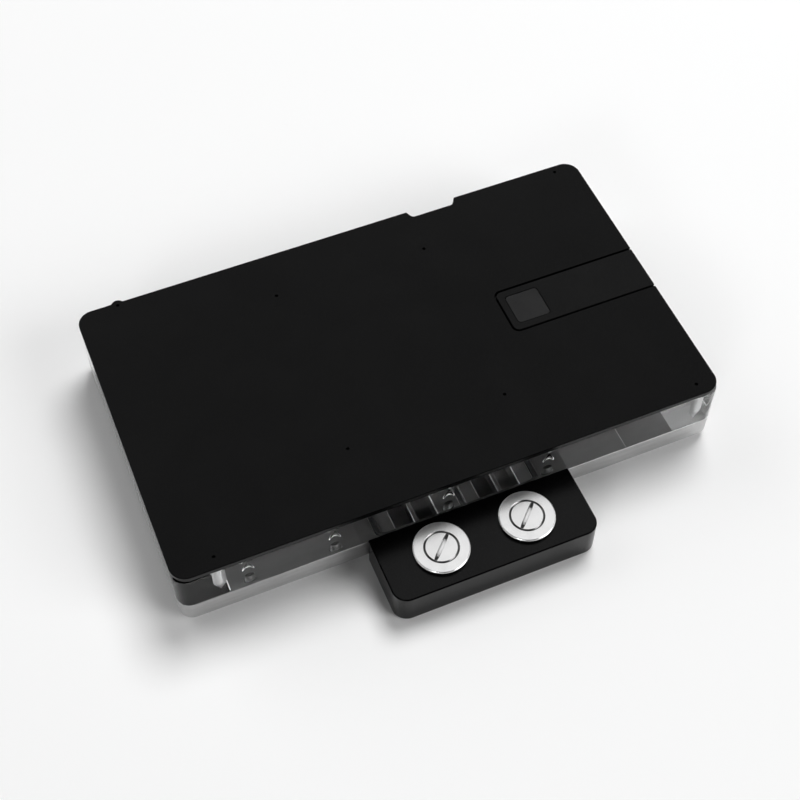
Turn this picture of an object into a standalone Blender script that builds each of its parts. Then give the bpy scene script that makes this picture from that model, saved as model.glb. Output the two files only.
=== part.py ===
"""Full-cover water block for a graphics card: a milled cold plate under a clear top and a black cover plate.

A terminal block with two plugged ports stands in front of the body. Body coordinates run from the
left end of the body along +X, from its front face along +Y and from the table along +Z, in metres.
"""

import math

import bmesh
import bpy
from mathutils import Matrix, Vector

# Body outline
BODY_LENGTH = 0.189
BODY_DEPTH = 0.111
BODY_CORNER = 0.0045
COVER_CORNER = 0.0055
ARC_STEP = math.radians(15)
SMALL_ARC = 0.0025
SMALL_ARC_STEP = math.radians(30)

# Middle of the flow field, over the chip. What serves the flow keeps its distance from here
FLOW_OFFSET = 0.00035
DIE_OFFSET = 0.00335
FLOW_X = BODY_LENGTH / 2 + FLOW_OFFSET
DIE_Y = BODY_DEPTH / 2 + DIE_OFFSET

# Layers, counted up from the table
SEAM = 0.0003
STANDOFF_HEIGHT = 0.0031
COLD_PLATE_THICKNESS = 0.0079
CLEAR_TOP_THICKNESS = 0.0148
COVER_THICKNESS = 0.0020
COLD_BOTTOM = STANDOFF_HEIGHT
COLD_TOP = COLD_BOTTOM + COLD_PLATE_THICKNESS
CLEAR_BOTTOM = COLD_TOP + SEAM
CLEAR_TOP = CLEAR_BOTTOM + CLEAR_TOP_THICKNESS
COVER_BOTTOM = CLEAR_TOP + SEAM
COVER_TOP = COVER_BOTTOM + COVER_THICKNESS
EDGE_CHAMFER = 0.0002

# Notch in the rear edge and the ear that carries a screw beside it
NOTCH_REACH = 0.02765
NOTCH_LENGTH = 0.0187
NOTCH_LEFT = FLOW_X + NOTCH_REACH
NOTCH_RIGHT = NOTCH_LEFT + NOTCH_LENGTH
NOTCH_SLANT_LEFT = 0.0013
NOTCH_SLANT_RIGHT = 0.0018
NOTCH_DEPTH = 0.0029
NOTCH_CORNER = 0.0015
EAR_X = 0.01474
EAR_INSET = 0.0013
EAR_Y = BODY_DEPTH - EAR_INSET
COVER_EAR_RADIUS = 0.0024
CLEAR_EAR_RADIUS = 0.0030

# Accent strip and badge tile let into the cover plate
INLAY_DEPTH = 0.0012
STRIP_LENGTH = 0.0530
STRIP_LEFT = BODY_LENGTH - STRIP_LENGTH
STRIP_WIDTH = 0.01735
STRIP_CORNER = 0.0020
STRIP_OFFSET = 0.0003
STRIP_CENTRE_Y = BODY_DEPTH / 2 + STRIP_OFFSET
STRIP_GROOVE = 0.0005
TILE_SIDE = 0.0119
TILE_CORNER = 0.0012
TILE_INSET = 0.0085
TILE_CENTRE_X = STRIP_LEFT + TILE_INSET
FIT_GAP = 0.0003

# Countersunk cover screws and the threaded inserts in the corners of the clear top
EAR_PLACE = (EAR_X, EAR_Y)
FRONT_LEFT_PLACE = (0.0140, 0.0042)
FRONT_RIGHT_INSET = 0.0075
REAR_RIGHT_INSET = (0.0086, 0.0029)
FRONT_RIGHT_PLACE = (BODY_LENGTH - FRONT_RIGHT_INSET, FRONT_LEFT_PLACE[1])
REAR_RIGHT_PLACE = (BODY_LENGTH - REAR_RIGHT_INSET[0], BODY_DEPTH - REAR_RIGHT_INSET[1])
CORNER_PLACES = (FRONT_LEFT_PLACE, FRONT_RIGHT_PLACE, REAR_RIGHT_PLACE, EAR_PLACE)
INNER_REACH_REAR = (0.02845, 0.02675, 0.03385)
INNER_REACH_FRONT = (0.02875, 0.02655, 0.03395)
INNER_PLACES = (
    (FLOW_X - INNER_REACH_REAR[0], DIE_Y + INNER_REACH_REAR[2]),
    (FLOW_X + INNER_REACH_REAR[1], DIE_Y + INNER_REACH_REAR[2]),
    (FLOW_X + INNER_REACH_FRONT[1], DIE_Y - INNER_REACH_FRONT[2]),
    (FLOW_X - INNER_REACH_FRONT[0], DIE_Y - INNER_REACH_FRONT[2]),
)
COVER_HEAD_RADIUS = 0.0019
COVER_HEAD_DEPTH = 0.0010
COVER_SHANK_RADIUS = 0.0010
COVER_SCREW_LENGTH = 0.0080
COVER_HEX = 0.0013
COVER_HEX_DEPTH = 0.0007
COVER_HEAD_RECESS = 0.0001
THREAD_DEPTH = 0.0070
INSERT_RADIUS = 0.0022
INSERT_POINT = 0.0040
INSERT_LENGTH = 0.0138

# Screws that hold the clear top to the cold plate, driven from below
END_SCREW_X = 0.0234
END_SCREW_INSET = 0.0070
FRONT_SCREW_Y = 0.0047
FRONT_SCREW_REACH = (0.04255, 0.00335, 0.03215)
FRONT_SCREW_X = (
    END_SCREW_X,
    FLOW_X - FRONT_SCREW_REACH[0],
    FLOW_X - FRONT_SCREW_REACH[1],
    FLOW_X + FRONT_SCREW_REACH[2],
)
SIDE_SCREW_REACH = (0.03485, 0.03515)
SIDE_SCREW_X = (FLOW_X - SIDE_SCREW_REACH[0], FLOW_X + SIDE_SCREW_REACH[1])
SIDE_SCREW_SPREAD = (0.01885, 0.01315)
SIDE_SCREW_Y = (DIE_Y - SIDE_SCREW_SPREAD[0], DIE_Y + SIDE_SCREW_SPREAD[1])
REAR_SCREW_REACH = (0.0150, 0.03415)
REAR_SCREW_X = (FLOW_X - REAR_SCREW_REACH[0], FLOW_X + REAR_SCREW_REACH[0])
REAR_SCREW_Y = DIE_Y + REAR_SCREW_REACH[1]
RIGHT_SCREW_INSET = (0.0240, 0.0170)
RIGHT_SCREW_Y = 0.0340
FAR_SCREWS = (
    (END_SCREW_X, BODY_DEPTH - END_SCREW_INSET),
    (BODY_LENGTH - RIGHT_SCREW_INSET[0], BODY_DEPTH - END_SCREW_INSET),
    (BODY_LENGTH - RIGHT_SCREW_INSET[1], RIGHT_SCREW_Y),
)
BODY_HEAD_RADIUS = 0.0032
BODY_HEAD_HEIGHT = 0.0018
BODY_HEAD_RECESS = 0.0001
BODY_SHANK_RADIUS = 0.00185
BODY_SCREW_GRIP = 0.0030
BODY_HEX = 0.0025
BODY_HEX_DEPTH = 0.0011
DRILL_DEPTH = 0.0110
DRILL_POINT = 0.0040

# Flow field in the cold plate: two pairs of channels, plenums and fins
CHANNEL_FLOOR = 0.0054
CHANNEL_FRONT = 0.0042
CHANNEL_REACH = (0.02205, 0.00745, 0.00765, 0.02185)
RIB_REACH = (0.01545, 0.01405, 0.01425, 0.01575)
LEFT_CHANNELS = (FLOW_X - CHANNEL_REACH[0], FLOW_X - CHANNEL_REACH[1])
RIGHT_CHANNELS = (FLOW_X + CHANNEL_REACH[2], FLOW_X + CHANNEL_REACH[3])
LEFT_RIB = (FLOW_X - RIB_REACH[0], FLOW_X - RIB_REACH[1])
RIGHT_RIB = (FLOW_X + RIB_REACH[2], FLOW_X + RIB_REACH[3])
FIELD_LENGTH = 0.0497
FIELD_WIDTH = 0.0360
FIELD_CORNER = 0.0030
RIB_STOP = 0.01285
RIB_END = DIE_Y - FIELD_WIDTH / 2 - RIB_STOP
FIN_LENGTH = 0.0300
FIN_THICKNESS = 0.0006
FIN_PITCH = 0.0012
FIN_COUNT = 29
FIN_HEIGHT = 0.0026
ROOT_SINK = 0.0003

# Flow plate over the fins
FLOW_PLATE_LENGTH = 0.0260
FLOW_PLATE_OVERHANG = 0.0034

# Main seal: a loop with one bar across it, and its groove
SEAL_LENGTH = 0.0560
SEAL_LEFT = FLOW_X - SEAL_LENGTH / 2
SEAL_RIGHT = FLOW_X + SEAL_LENGTH / 2
SEAL_BAR_OFFSET = 0.00175
SEAL_BAR = FLOW_X + SEAL_BAR_OFFSET
SEAL_FRONT = 0.0020
SEAL_REACH = 0.02765
SEAL_REAR = DIE_Y + SEAL_REACH
SEAL_CORNER = 0.0040
GROOVE_WIDTH = 0.0022
GROOVE_DEPTH = 0.0018

# Relief pockets in the front corners of the cold plate
RELIEF_WALL = 0.0010
RELIEF_REAR = 0.0240
RELIEF_DEPTH = 0.0030
LEFT_RELIEF_END = 0.0163
RIGHT_RELIEF_LENGTH = 0.0156
SHALLOW_RELIEF_LENGTH = 0.0330
RIGHT_RELIEF_START = BODY_LENGTH - RIGHT_RELIEF_LENGTH
SHALLOW_RELIEF_START = BODY_LENGTH - SHALLOW_RELIEF_LENGTH
SHALLOW_RELIEF_DEPTH = 0.0005

# Lands and standoffs on the underside
PEDESTAL_SIDE = 0.0320
PEDESTAL_HEIGHT = 0.0014
LAND_HEIGHT = 0.0009
LAND_WIDTH = 0.0110
LAND_GAP = 0.0020
SIDE_LAND_LENGTH = 0.0320
CROSS_LAND_LENGTH = 0.0340
POWER_LAND_REACH = (0.05585, 0.05615)
POWER_LAND_X = (FLOW_X - POWER_LAND_REACH[0], FLOW_X + POWER_LAND_REACH[1])
POWER_LAND_ENDS = (0.0200, 0.0190)
POWER_LAND_Y = (POWER_LAND_ENDS[0] + BODY_DEPTH - POWER_LAND_ENDS[1]) / 2
POWER_LAND_WIDTH = 0.0100
POWER_LAND_LENGTH = BODY_DEPTH - sum(POWER_LAND_ENDS)
LAND_CORNER = 0.0010
DIE_STANDOFF_X = 0.0380
DIE_STANDOFF_Y = 0.0330
END_STANDOFF_INSET = (0.0120, 0.0130)
END_STANDOFF_FRONT = 0.0220
END_STANDOFF_REAR = (0.0210, 0.0190)
FAR_STANDOFFS = (
    (END_STANDOFF_INSET[0], END_STANDOFF_FRONT),
    (END_STANDOFF_INSET[0], BODY_DEPTH - END_STANDOFF_REAR[0]),
    (BODY_LENGTH - END_STANDOFF_INSET[1], END_STANDOFF_FRONT),
    (BODY_LENGTH - END_STANDOFF_INSET[1], BODY_DEPTH - END_STANDOFF_REAR[1]),
)
STANDOFF_RADIUS = 0.0035
STANDOFF_HOLE_RADIUS = 0.0013
STANDOFF_HOLE_DEPTH = 0.0048

# Terminal block in front of the body
TERMINAL_DEPTH = 0.0250
TERMINAL_HEIGHT = 0.0128
TERMINAL_FRONT_CORNER = 0.0050
TERMINAL_BACK_CORNER = 0.0005
TERMINAL_CHAMFER = 0.0004
TERMINAL_BACK = -SEAM
PORT_REACH = (0.01195, 0.01805)
PORT_X = (FLOW_X - PORT_REACH[0], FLOW_X + PORT_REACH[1])
PORT_DISTANCE = 0.0121
PORT_Y = TERMINAL_BACK - PORT_DISTANCE
PORT_RADIUS = 0.00595
PORT_STEP_RADIUS = 0.00725
PORT_STEP_DEPTH = 0.0013
PASSAGE_REACH = (0.01335, 0.01605)
PASSAGE_X = (FLOW_X - PASSAGE_REACH[0], FLOW_X + PASSAGE_REACH[1])
PASSAGE_WIDTH = 0.0112
PASSAGE_BOTTOM = 0.0056
PASSAGE_TOP = 0.0082

# Seals round the passages, let into the back of the terminal
PASSAGE_SEAL_LAND = 0.0006
PASSAGE_GROOVE_WIDTH = 0.0019
PASSAGE_GROOVE_DEPTH = 0.0013

# Tabs of the cold plate under the terminal, with their bolts.
# The outer two stand beside the seals and set the terminal's length.
TAB_WIDTH = 0.0076
TAB_GAPS = (0.0012, 0.0050)
TAB_END_LAND = 0.0020
TAB_OFFSET = PASSAGE_WIDTH / 2 + PASSAGE_SEAL_LAND + PASSAGE_GROOVE_WIDTH + TAB_WIDTH / 2
TAB_X = (
    PASSAGE_X[0] - TAB_OFFSET - TAB_GAPS[0],
    sum(PASSAGE_X) / 2,
    PASSAGE_X[1] + TAB_OFFSET + TAB_GAPS[1],
)
TERMINAL_LEFT = TAB_X[0] - TAB_WIDTH / 2 - TAB_END_LAND
TERMINAL_RIGHT = TAB_X[2] + TAB_WIDTH / 2 + TAB_END_LAND
TAB_REACH = 0.0063
TAB_THICKNESS = 0.0022
TAB_CORNER = 0.0015
BOLT_Y = -0.0033
BOLT_HEAD_RADIUS = 0.0022
BOLT_HEAD_HEIGHT = 0.0022
BOLT_SHANK_RADIUS = 0.0012
BOLT_LENGTH = 0.0075
BOLT_HEX = 0.0020
BOLT_HEX_DEPTH = 0.0012
BOLT_HOLE_DEPTH = 0.0053

# Port plugs and their O-rings
PLUG_RADIUS = 0.0093
PLUG_HEAD_HEIGHT = 0.0013
PLUG_EDGE = 0.00035
PLUG_STUB_RADIUS = 0.0056
PLUG_STUB_LENGTH = 0.0039
PLUG_BORE_RADIUS = 0.0036
PLUG_BORE_DEPTH = 0.0018
PLUG_GROOVE_RADIUS = 0.0055
PLUG_GROOVE_WIDTH = 0.0005
PLUG_GROOVE_DEPTH = 0.0003
SLOT_WIDTH = 0.0009
SLOT_LENGTH = 0.0102
SLOT_DEPTH = 0.0010
SLOT_ANGLE = math.radians(45)
O_RING_SECTION = 0.0005
O_RING_SEGMENTS = 24
O_RING_STEPS = 6

# The whole object's middle, so that its parts stand round the origin
FRONT_END = TERMINAL_BACK - TERMINAL_DEPTH
REAR_END = EAR_Y + CLEAR_EAR_RADIUS
MIDDLE = Vector((BODY_LENGTH / 2, (FRONT_END + REAR_END) / 2, 0))

# Small running values
OVERCUT = 0.001
ROUND_SIDES = 14
SCREW_SIDES = 10
PORT_SIDES = 24
PLUG_SIDES = 36
SLOT_SIDES = 72
SMOOTH_FROM = math.radians(0.5)
SMOOTH_TO = math.radians(36)


def clear_scene():
    for old in list(bpy.data.objects):
        bpy.data.objects.remove(old, do_unlink=True)


def make_material(name, colour, roughness, metallic, alpha=1.0):
    material = bpy.data.materials.new(name)
    material.use_nodes = True
    surface = material.node_tree.nodes["Principled BSDF"]
    surface.inputs["Base Color"].default_value = (*colour, 1.0)
    surface.inputs["Roughness"].default_value = roughness
    surface.inputs["Metallic"].default_value = metallic
    surface.inputs["Alpha"].default_value = alpha
    material.diffuse_color = (*colour, alpha)
    return material


def round_corners(corners):
    """Turns corners (x, y, radius) into an outline whose corners are arcs."""
    outline = []
    for index, (x, y, radius) in enumerate(corners):
        here = Vector((x, y))
        if radius == 0:
            outline.append(here)
            continue
        before = (Vector(corners[index - 1][:2]) - here).normalized()
        after = (Vector(corners[(index + 1) % len(corners)][:2]) - here).normalized()
        half = before.angle(after) / 2
        centre = here + (before + after).normalized() * radius / math.sin(half)
        first = here + before * radius / math.tan(half) - centre
        turn = first.angle_signed(here + after * radius / math.tan(half) - centre)
        arc_step = SMALL_ARC_STEP if radius < SMALL_ARC else ARC_STEP
        steps = max(2, round(abs(turn) / arc_step))
        for step in range(steps + 1):
            outline.append(centre + Matrix.Rotation(-turn * step / steps, 2) @ first)
    return outline


def rectangle(left, right, front, back, radius=0.0):
    return round_corners(
        [(left, front, radius), (right, front, radius), (right, back, radius), (left, back, radius)]
    )


def body_outline(corner_radius, ear_radius=0.0):
    """The outline that all three layers share, with the ear only where one is asked for."""
    notch_floor = BODY_DEPTH - NOTCH_DEPTH
    corners = [
        (0, 0, corner_radius),
        (BODY_LENGTH, 0, corner_radius),
        (BODY_LENGTH, BODY_DEPTH, corner_radius),
        (NOTCH_RIGHT, BODY_DEPTH, 0),
        (NOTCH_RIGHT - NOTCH_SLANT_RIGHT, notch_floor, NOTCH_CORNER),
        (NOTCH_LEFT + NOTCH_SLANT_LEFT, notch_floor, NOTCH_CORNER),
        (NOTCH_LEFT, BODY_DEPTH, 0),
    ]
    if ear_radius:
        rise = math.asin((BODY_DEPTH - EAR_Y) / ear_radius)
        sweep = math.pi - 2 * rise
        steps = round(sweep / ARC_STEP)
        for step in range(steps + 1):
            angle = rise + sweep * step / steps
            x = EAR_X + ear_radius * math.cos(angle)
            corners.append((x, EAR_Y + ear_radius * math.sin(angle), 0))
    corners.append((0, BODY_DEPTH, corner_radius))
    return round_corners(corners)


def add_prism(shape, outline, bottom, top):
    points = [shape.verts.new((x, y, bottom)) for x, y in outline]
    base = shape.faces.new(points)
    risen = bmesh.ops.extrude_face_region(shape, geom=[base])
    moved = [item for item in risen["geom"] if isinstance(item, bmesh.types.BMVert)]
    bmesh.ops.translate(shape, verts=moved, vec=(0, 0, top - bottom))


def add_turned(shape, profile, centre, sides):
    """Spins a profile of (radius, height) points, from the axis back to the axis, round a vertical line."""
    points = [shape.verts.new((centre[0] + radius, centre[1], height)) for radius, height in profile]
    edges = [shape.edges.new(pair) for pair in zip(points, points[1:])]
    spun = bmesh.ops.spin(
        shape,
        geom=points + edges,
        cent=(*centre, 0),
        axis=(0, 0, 1),
        angle=math.tau,
        steps=sides,
        use_merge=True,
    )
    ring = {vert for vert in spun["geom_last"] if isinstance(vert, bmesh.types.BMVert)}
    ring.update(points)
    axis = [vert for vert in shape.verts if (vert.co.xy - Vector(centre)).length < 1e-7]
    bmesh.ops.remove_doubles(shape, verts=list(ring | set(axis)), dist=1e-7)


def close_shape(shape):
    """Points the faces outwards, and shades as smooth only the faces that belong to a curve."""
    bmesh.ops.recalc_face_normals(shape, faces=shape.faces)
    for edge in shape.edges:
        if len(edge.link_faces) == 2 and SMOOTH_FROM < edge.calc_face_angle() < SMOOTH_TO:
            for face in edge.link_faces:
                face.smooth = True


def place(name, shape, material, parent, location=(0, 0, 0)):
    close_shape(shape)
    mesh = bpy.data.meshes.new(name)
    shape.to_mesh(mesh)
    shape.free()
    return place_mesh(name, mesh, material, parent, location)


def place_mesh(name, mesh, material, parent, location=(0, 0, 0)):
    piece = bpy.data.objects.new(name, mesh)
    bpy.context.scene.collection.objects.link(piece)
    if material and not mesh.materials:
        mesh.materials.append(material)
    piece.parent = parent
    piece.location = location
    return piece


def prisms(name, outlines, bottom, top, material, parent):
    shape = bmesh.new()
    for outline in outlines:
        add_prism(shape, outline, bottom, top)
    return place(name, shape, material, parent)


def turned(name, profile, centres, sides, material, parent):
    shape = bmesh.new()
    for centre in centres:
        add_turned(shape, profile, centre, sides)
    return place(name, shape, material, parent)


def chamfer(piece, width):
    modifier = piece.modifiers.new("edges", "BEVEL")
    modifier.width = width
    modifier.segments = 1
    modifier.limit_method = "ANGLE"
    modifier.angle_limit = math.radians(50)


def combine(piece, tool, operation):
    """Adds, removes or keeps the volume of a tool that isn't itself part of the object."""
    modifier = piece.modifiers.new(tool.name, "BOOLEAN")
    modifier.operation = operation
    modifier.solver = "EXACT"
    modifier.object = tool
    tool.hide_render = True
    tool.display_type = "WIRE"


def baked_mesh(piece):
    """The finished mesh of a fastener, so that every copy of it is the same."""
    graph = bpy.context.evaluated_depsgraph_get()
    return bpy.data.meshes.new_from_object(piece.evaluated_get(graph))


def screw_mesh(name, profile, hex_width, hex_depth, hex_end, material):
    """A turned screw with a hexagon socket that opens at hex_end.

    hex_depth is negative when the socket opens upwards.
    """
    blank = turned(name, profile, [(0, 0)], SCREW_SIDES, material, None)
    shape = bmesh.new()
    bmesh.ops.create_cone(
        shape,
        cap_ends=True,
        segments=6,
        radius1=hex_width / math.sqrt(3),
        radius2=hex_width / math.sqrt(3),
        depth=abs(hex_depth) * 2,
    )
    socket = place(name + "_socket", shape, None, None, (0, 0, hex_end))
    combine(blank, socket, "DIFFERENCE")
    mesh = baked_mesh(blank)
    bpy.data.objects.remove(blank)
    bpy.data.objects.remove(socket)
    return mesh


def loop_tool(name, centre_x, centre_z, inner_width, inner_height, band, front, back, material, parent):
    """A ring that stands on edge round a passage, facing along Y."""
    half_width = inner_width / 2
    half_height = inner_height / 2
    reach = half_width + band
    rise = half_height + band
    outer = rectangle(-reach, reach, -rise, rise, rise)
    inner = rectangle(-half_width, half_width, -half_height, half_height, half_height)
    shape = bmesh.new()
    loops = []
    for outline in (outer, inner):
        points = [shape.verts.new((x, y, 0)) for x, y in outline]
        loops += [shape.edges.new((points[i - 1], points[i])) for i in range(len(points))]
    face = bmesh.ops.bridge_loops(shape, edges=loops)["faces"]
    risen = bmesh.ops.extrude_face_region(shape, geom=face)
    moved = [item for item in risen["geom"] if isinstance(item, bmesh.types.BMVert)]
    bmesh.ops.translate(shape, verts=moved, vec=(0, 0, back - front))
    piece = place(name, shape, material, parent, (centre_x, front, centre_z))
    piece.rotation_euler = (-math.pi / 2, 0, 0)
    return piece


def seal_band(name, width, bottom, top, material, parent):
    """The main seal's loop and bar, as wide as asked for, on the seal's own centre line."""
    half = width / 2
    left = SEAL_LEFT - half
    right = SEAL_RIGHT + half
    loop = prisms(
        name,
        [rectangle(left, right, SEAL_FRONT - half, SEAL_REAR + half, SEAL_CORNER + half)],
        bottom,
        top,
        material,
        parent,
    )
    inner_corner = SEAL_CORNER - half
    front = SEAL_FRONT + half
    back = SEAL_REAR - half
    windows = prisms(
        name + "_windows",
        [
            rectangle(SEAL_LEFT + half, SEAL_BAR - half, front, back, inner_corner),
            rectangle(SEAL_BAR + half, SEAL_RIGHT - half, front, back, inner_corner),
        ],
        bottom - OVERCUT,
        top + OVERCUT,
        None,
        parent,
    )
    combine(loop, windows, "DIFFERENCE")
    return loop


def body_screw_places():
    places = [(x, FRONT_SCREW_Y) for x in FRONT_SCREW_X]
    places += [(x, y) for x in SIDE_SCREW_X for y in SIDE_SCREW_Y]
    places += [(x, REAR_SCREW_Y) for x in REAR_SCREW_X]
    return places + list(FAR_SCREWS)


def standoff_places():
    places = [
        (FLOW_X + across * DIE_STANDOFF_X, DIE_Y + along * DIE_STANDOFF_Y)
        for across in (-1, 1)
        for along in (-1, 1)
    ]
    return places + list(FAR_STANDOFFS)


def build_cover(parent, materials):
    cover = prisms(
        "cover_plate",
        [body_outline(COVER_CORNER, COVER_EAR_RADIUS)],
        COVER_BOTTOM,
        COVER_TOP,
        materials["cover"],
        parent,
    )
    chamfer(cover, EDGE_CHAMFER)

    half_width = STRIP_WIDTH / 2
    pocket_half = half_width + STRIP_GROOVE
    pocket = prisms(
        "strip_pocket",
        [
            round_corners(
                [
                    (STRIP_LEFT - STRIP_GROOVE, STRIP_CENTRE_Y - pocket_half, STRIP_CORNER + STRIP_GROOVE),
                    (BODY_LENGTH + OVERCUT, STRIP_CENTRE_Y - pocket_half, 0),
                    (BODY_LENGTH + OVERCUT, STRIP_CENTRE_Y + pocket_half, 0),
                    (STRIP_LEFT - STRIP_GROOVE, STRIP_CENTRE_Y + pocket_half, STRIP_CORNER + STRIP_GROOVE),
                ]
            )
        ],
        COVER_TOP - INLAY_DEPTH,
        COVER_TOP + OVERCUT,
        None,
        parent,
    )
    combine(cover, pocket, "DIFFERENCE")

    hole = COVER_SHANK_RADIUS + FIT_GAP
    rim = COVER_HEAD_RADIUS + FIT_GAP
    countersink = [
        (0, COVER_BOTTOM - OVERCUT),
        (hole, COVER_BOTTOM - OVERCUT),
        (hole, COVER_TOP - COVER_HEAD_DEPTH - FIT_GAP),
        (rim, COVER_TOP - FIT_GAP),
        (rim, COVER_TOP + OVERCUT),
        (0, COVER_TOP + OVERCUT),
    ]
    holes = turned(
        "cover_screw_holes", countersink, CORNER_PLACES + INNER_PLACES, ROUND_SIDES, None, parent
    )
    combine(cover, holes, "DIFFERENCE")

    inlay_bottom = COVER_TOP - INLAY_DEPTH + FIT_GAP
    strip = prisms(
        "accent_strip",
        [
            round_corners(
                [
                    (STRIP_LEFT, STRIP_CENTRE_Y - half_width, STRIP_CORNER),
                    (BODY_LENGTH, STRIP_CENTRE_Y - half_width, 0),
                    (BODY_LENGTH, STRIP_CENTRE_Y + half_width, 0),
                    (STRIP_LEFT, STRIP_CENTRE_Y + half_width, STRIP_CORNER),
                ]
            )
        ],
        inlay_bottom,
        COVER_TOP,
        materials["strip"],
        parent,
    )
    chamfer(strip, EDGE_CHAMFER / 2)
    half_window = TILE_SIDE / 2 + FIT_GAP
    window = prisms(
        "tile_window",
        [
            rectangle(
                TILE_CENTRE_X - half_window,
                TILE_CENTRE_X + half_window,
                STRIP_CENTRE_Y - half_window,
                STRIP_CENTRE_Y + half_window,
                TILE_CORNER + FIT_GAP,
            )
        ],
        inlay_bottom - OVERCUT,
        COVER_TOP + OVERCUT,
        None,
        parent,
    )
    combine(strip, window, "DIFFERENCE")

    half_tile = TILE_SIDE / 2
    tile = prisms(
        "badge_tile",
        [rectangle(-half_tile, half_tile, -half_tile, half_tile, TILE_CORNER)],
        0,
        COVER_TOP - inlay_bottom,
        materials["tile"],
        parent,
    )
    tile.location = (TILE_CENTRE_X, STRIP_CENTRE_Y, inlay_bottom)
    chamfer(tile, EDGE_CHAMFER / 2)


def build_clear_top(parent, materials):
    clear = prisms(
        "clear_top",
        [body_outline(BODY_CORNER, CLEAR_EAR_RADIUS)],
        CLEAR_BOTTOM,
        CLEAR_TOP,
        materials["acrylic"],
        parent,
    )
    chamfer(clear, EDGE_CHAMFER)

    drill = BODY_SHANK_RADIUS + FIT_GAP
    blind = [
        (0, CLEAR_BOTTOM - OVERCUT),
        (drill, CLEAR_BOTTOM - OVERCUT),
        (drill, CLEAR_BOTTOM + DRILL_DEPTH - DRILL_POINT),
        (0, CLEAR_BOTTOM + DRILL_DEPTH),
    ]
    holes = turned("body_screw_drillings", blind, body_screw_places(), ROUND_SIDES, None, parent)
    combine(clear, holes, "DIFFERENCE")

    seat = INSERT_RADIUS + FIT_GAP
    seat_end = CLEAR_TOP - INSERT_LENGTH - 2 * FIT_GAP
    insert_hole = [
        (0, seat_end),
        (seat, seat_end + INSERT_POINT + FIT_GAP),
        (seat, CLEAR_TOP + OVERCUT),
        (0, CLEAR_TOP + OVERCUT),
    ]
    seats = turned("insert_seats", insert_hole, CORNER_PLACES, ROUND_SIDES, None, parent)
    combine(clear, seats, "DIFFERENCE")

    thread = COVER_SHANK_RADIUS + FIT_GAP
    tapped = [
        (0, CLEAR_TOP - THREAD_DEPTH),
        (thread, CLEAR_TOP - THREAD_DEPTH),
        (thread, CLEAR_TOP + OVERCUT),
        (0, CLEAR_TOP + OVERCUT),
    ]
    threads = turned("tapped_holes", tapped, INNER_PLACES, SCREW_SIDES, None, parent)
    combine(clear, threads, "DIFFERENCE")


def build_inserts_and_cover_screws(parent, materials):
    thread = COVER_SHANK_RADIUS + FIT_GAP
    insert = [
        (0, -INSERT_LENGTH),
        (INSERT_RADIUS, -INSERT_LENGTH + INSERT_POINT),
        (INSERT_RADIUS, 0),
        (thread, 0),
        (thread, -THREAD_DEPTH),
        (0, -THREAD_DEPTH),
    ]
    for number, (x, y) in enumerate(CORNER_PLACES, 1):
        piece = turned(f"cover_insert_{number}", insert, [(0, 0)], ROUND_SIDES, materials["bush"], parent)
        piece.location = (x, y, CLEAR_TOP)

    screw = [
        (0, -COVER_SCREW_LENGTH),
        (COVER_SHANK_RADIUS, -COVER_SCREW_LENGTH),
        (COVER_SHANK_RADIUS, -COVER_HEAD_DEPTH),
        (COVER_HEAD_RADIUS, 0),
        (0, 0),
    ]
    mesh = screw_mesh("cover_screw", screw, COVER_HEX, COVER_HEX_DEPTH, 0, materials["black_screw"])
    for number, (x, y) in enumerate(CORNER_PLACES + INNER_PLACES, 1):
        height = COVER_TOP - COVER_HEAD_RECESS
        place_mesh(f"cover_screw_{number}", mesh.copy(), materials["black_screw"], parent, (x, y, height))


def fin_outlines():
    first = DIE_Y - FIN_PITCH * (FIN_COUNT - 1) / 2
    left = FLOW_X - FIN_LENGTH / 2
    for number in range(FIN_COUNT):
        centre = first + number * FIN_PITCH
        yield rectangle(left, left + FIN_LENGTH, centre - FIN_THICKNESS / 2, centre + FIN_THICKNESS / 2)


def flow_outline():
    """The channels' two legs and the field that joins them behind, as one pocket."""
    field_left = FLOW_X - FIELD_LENGTH / 2
    field_right = FLOW_X + FIELD_LENGTH / 2
    field_front = DIE_Y - FIELD_WIDTH / 2
    field_back = DIE_Y + FIELD_WIDTH / 2
    small = FIELD_CORNER / 3
    return round_corners(
        [
            (LEFT_CHANNELS[0], CHANNEL_FRONT, small),
            (LEFT_CHANNELS[1], CHANNEL_FRONT, small),
            (LEFT_CHANNELS[1], field_front, small),
            (RIGHT_CHANNELS[0], field_front, small),
            (RIGHT_CHANNELS[0], CHANNEL_FRONT, small),
            (RIGHT_CHANNELS[1], CHANNEL_FRONT, small),
            (RIGHT_CHANNELS[1], field_front, small),
            (field_right, field_front, small),
            (field_right, field_back, FIELD_CORNER),
            (field_left, field_back, FIELD_CORNER),
            (field_left, field_front, small),
            (LEFT_CHANNELS[0], field_front, small),
        ]
    )


def flow_plate_box(clearance):
    half_length = FLOW_PLATE_LENGTH / 2 + clearance
    half_width = FIELD_WIDTH / 2 + FLOW_PLATE_OVERHANG + clearance
    return rectangle(FLOW_X - half_length, FLOW_X + half_length, DIE_Y - half_width, DIE_Y + half_width)


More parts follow.
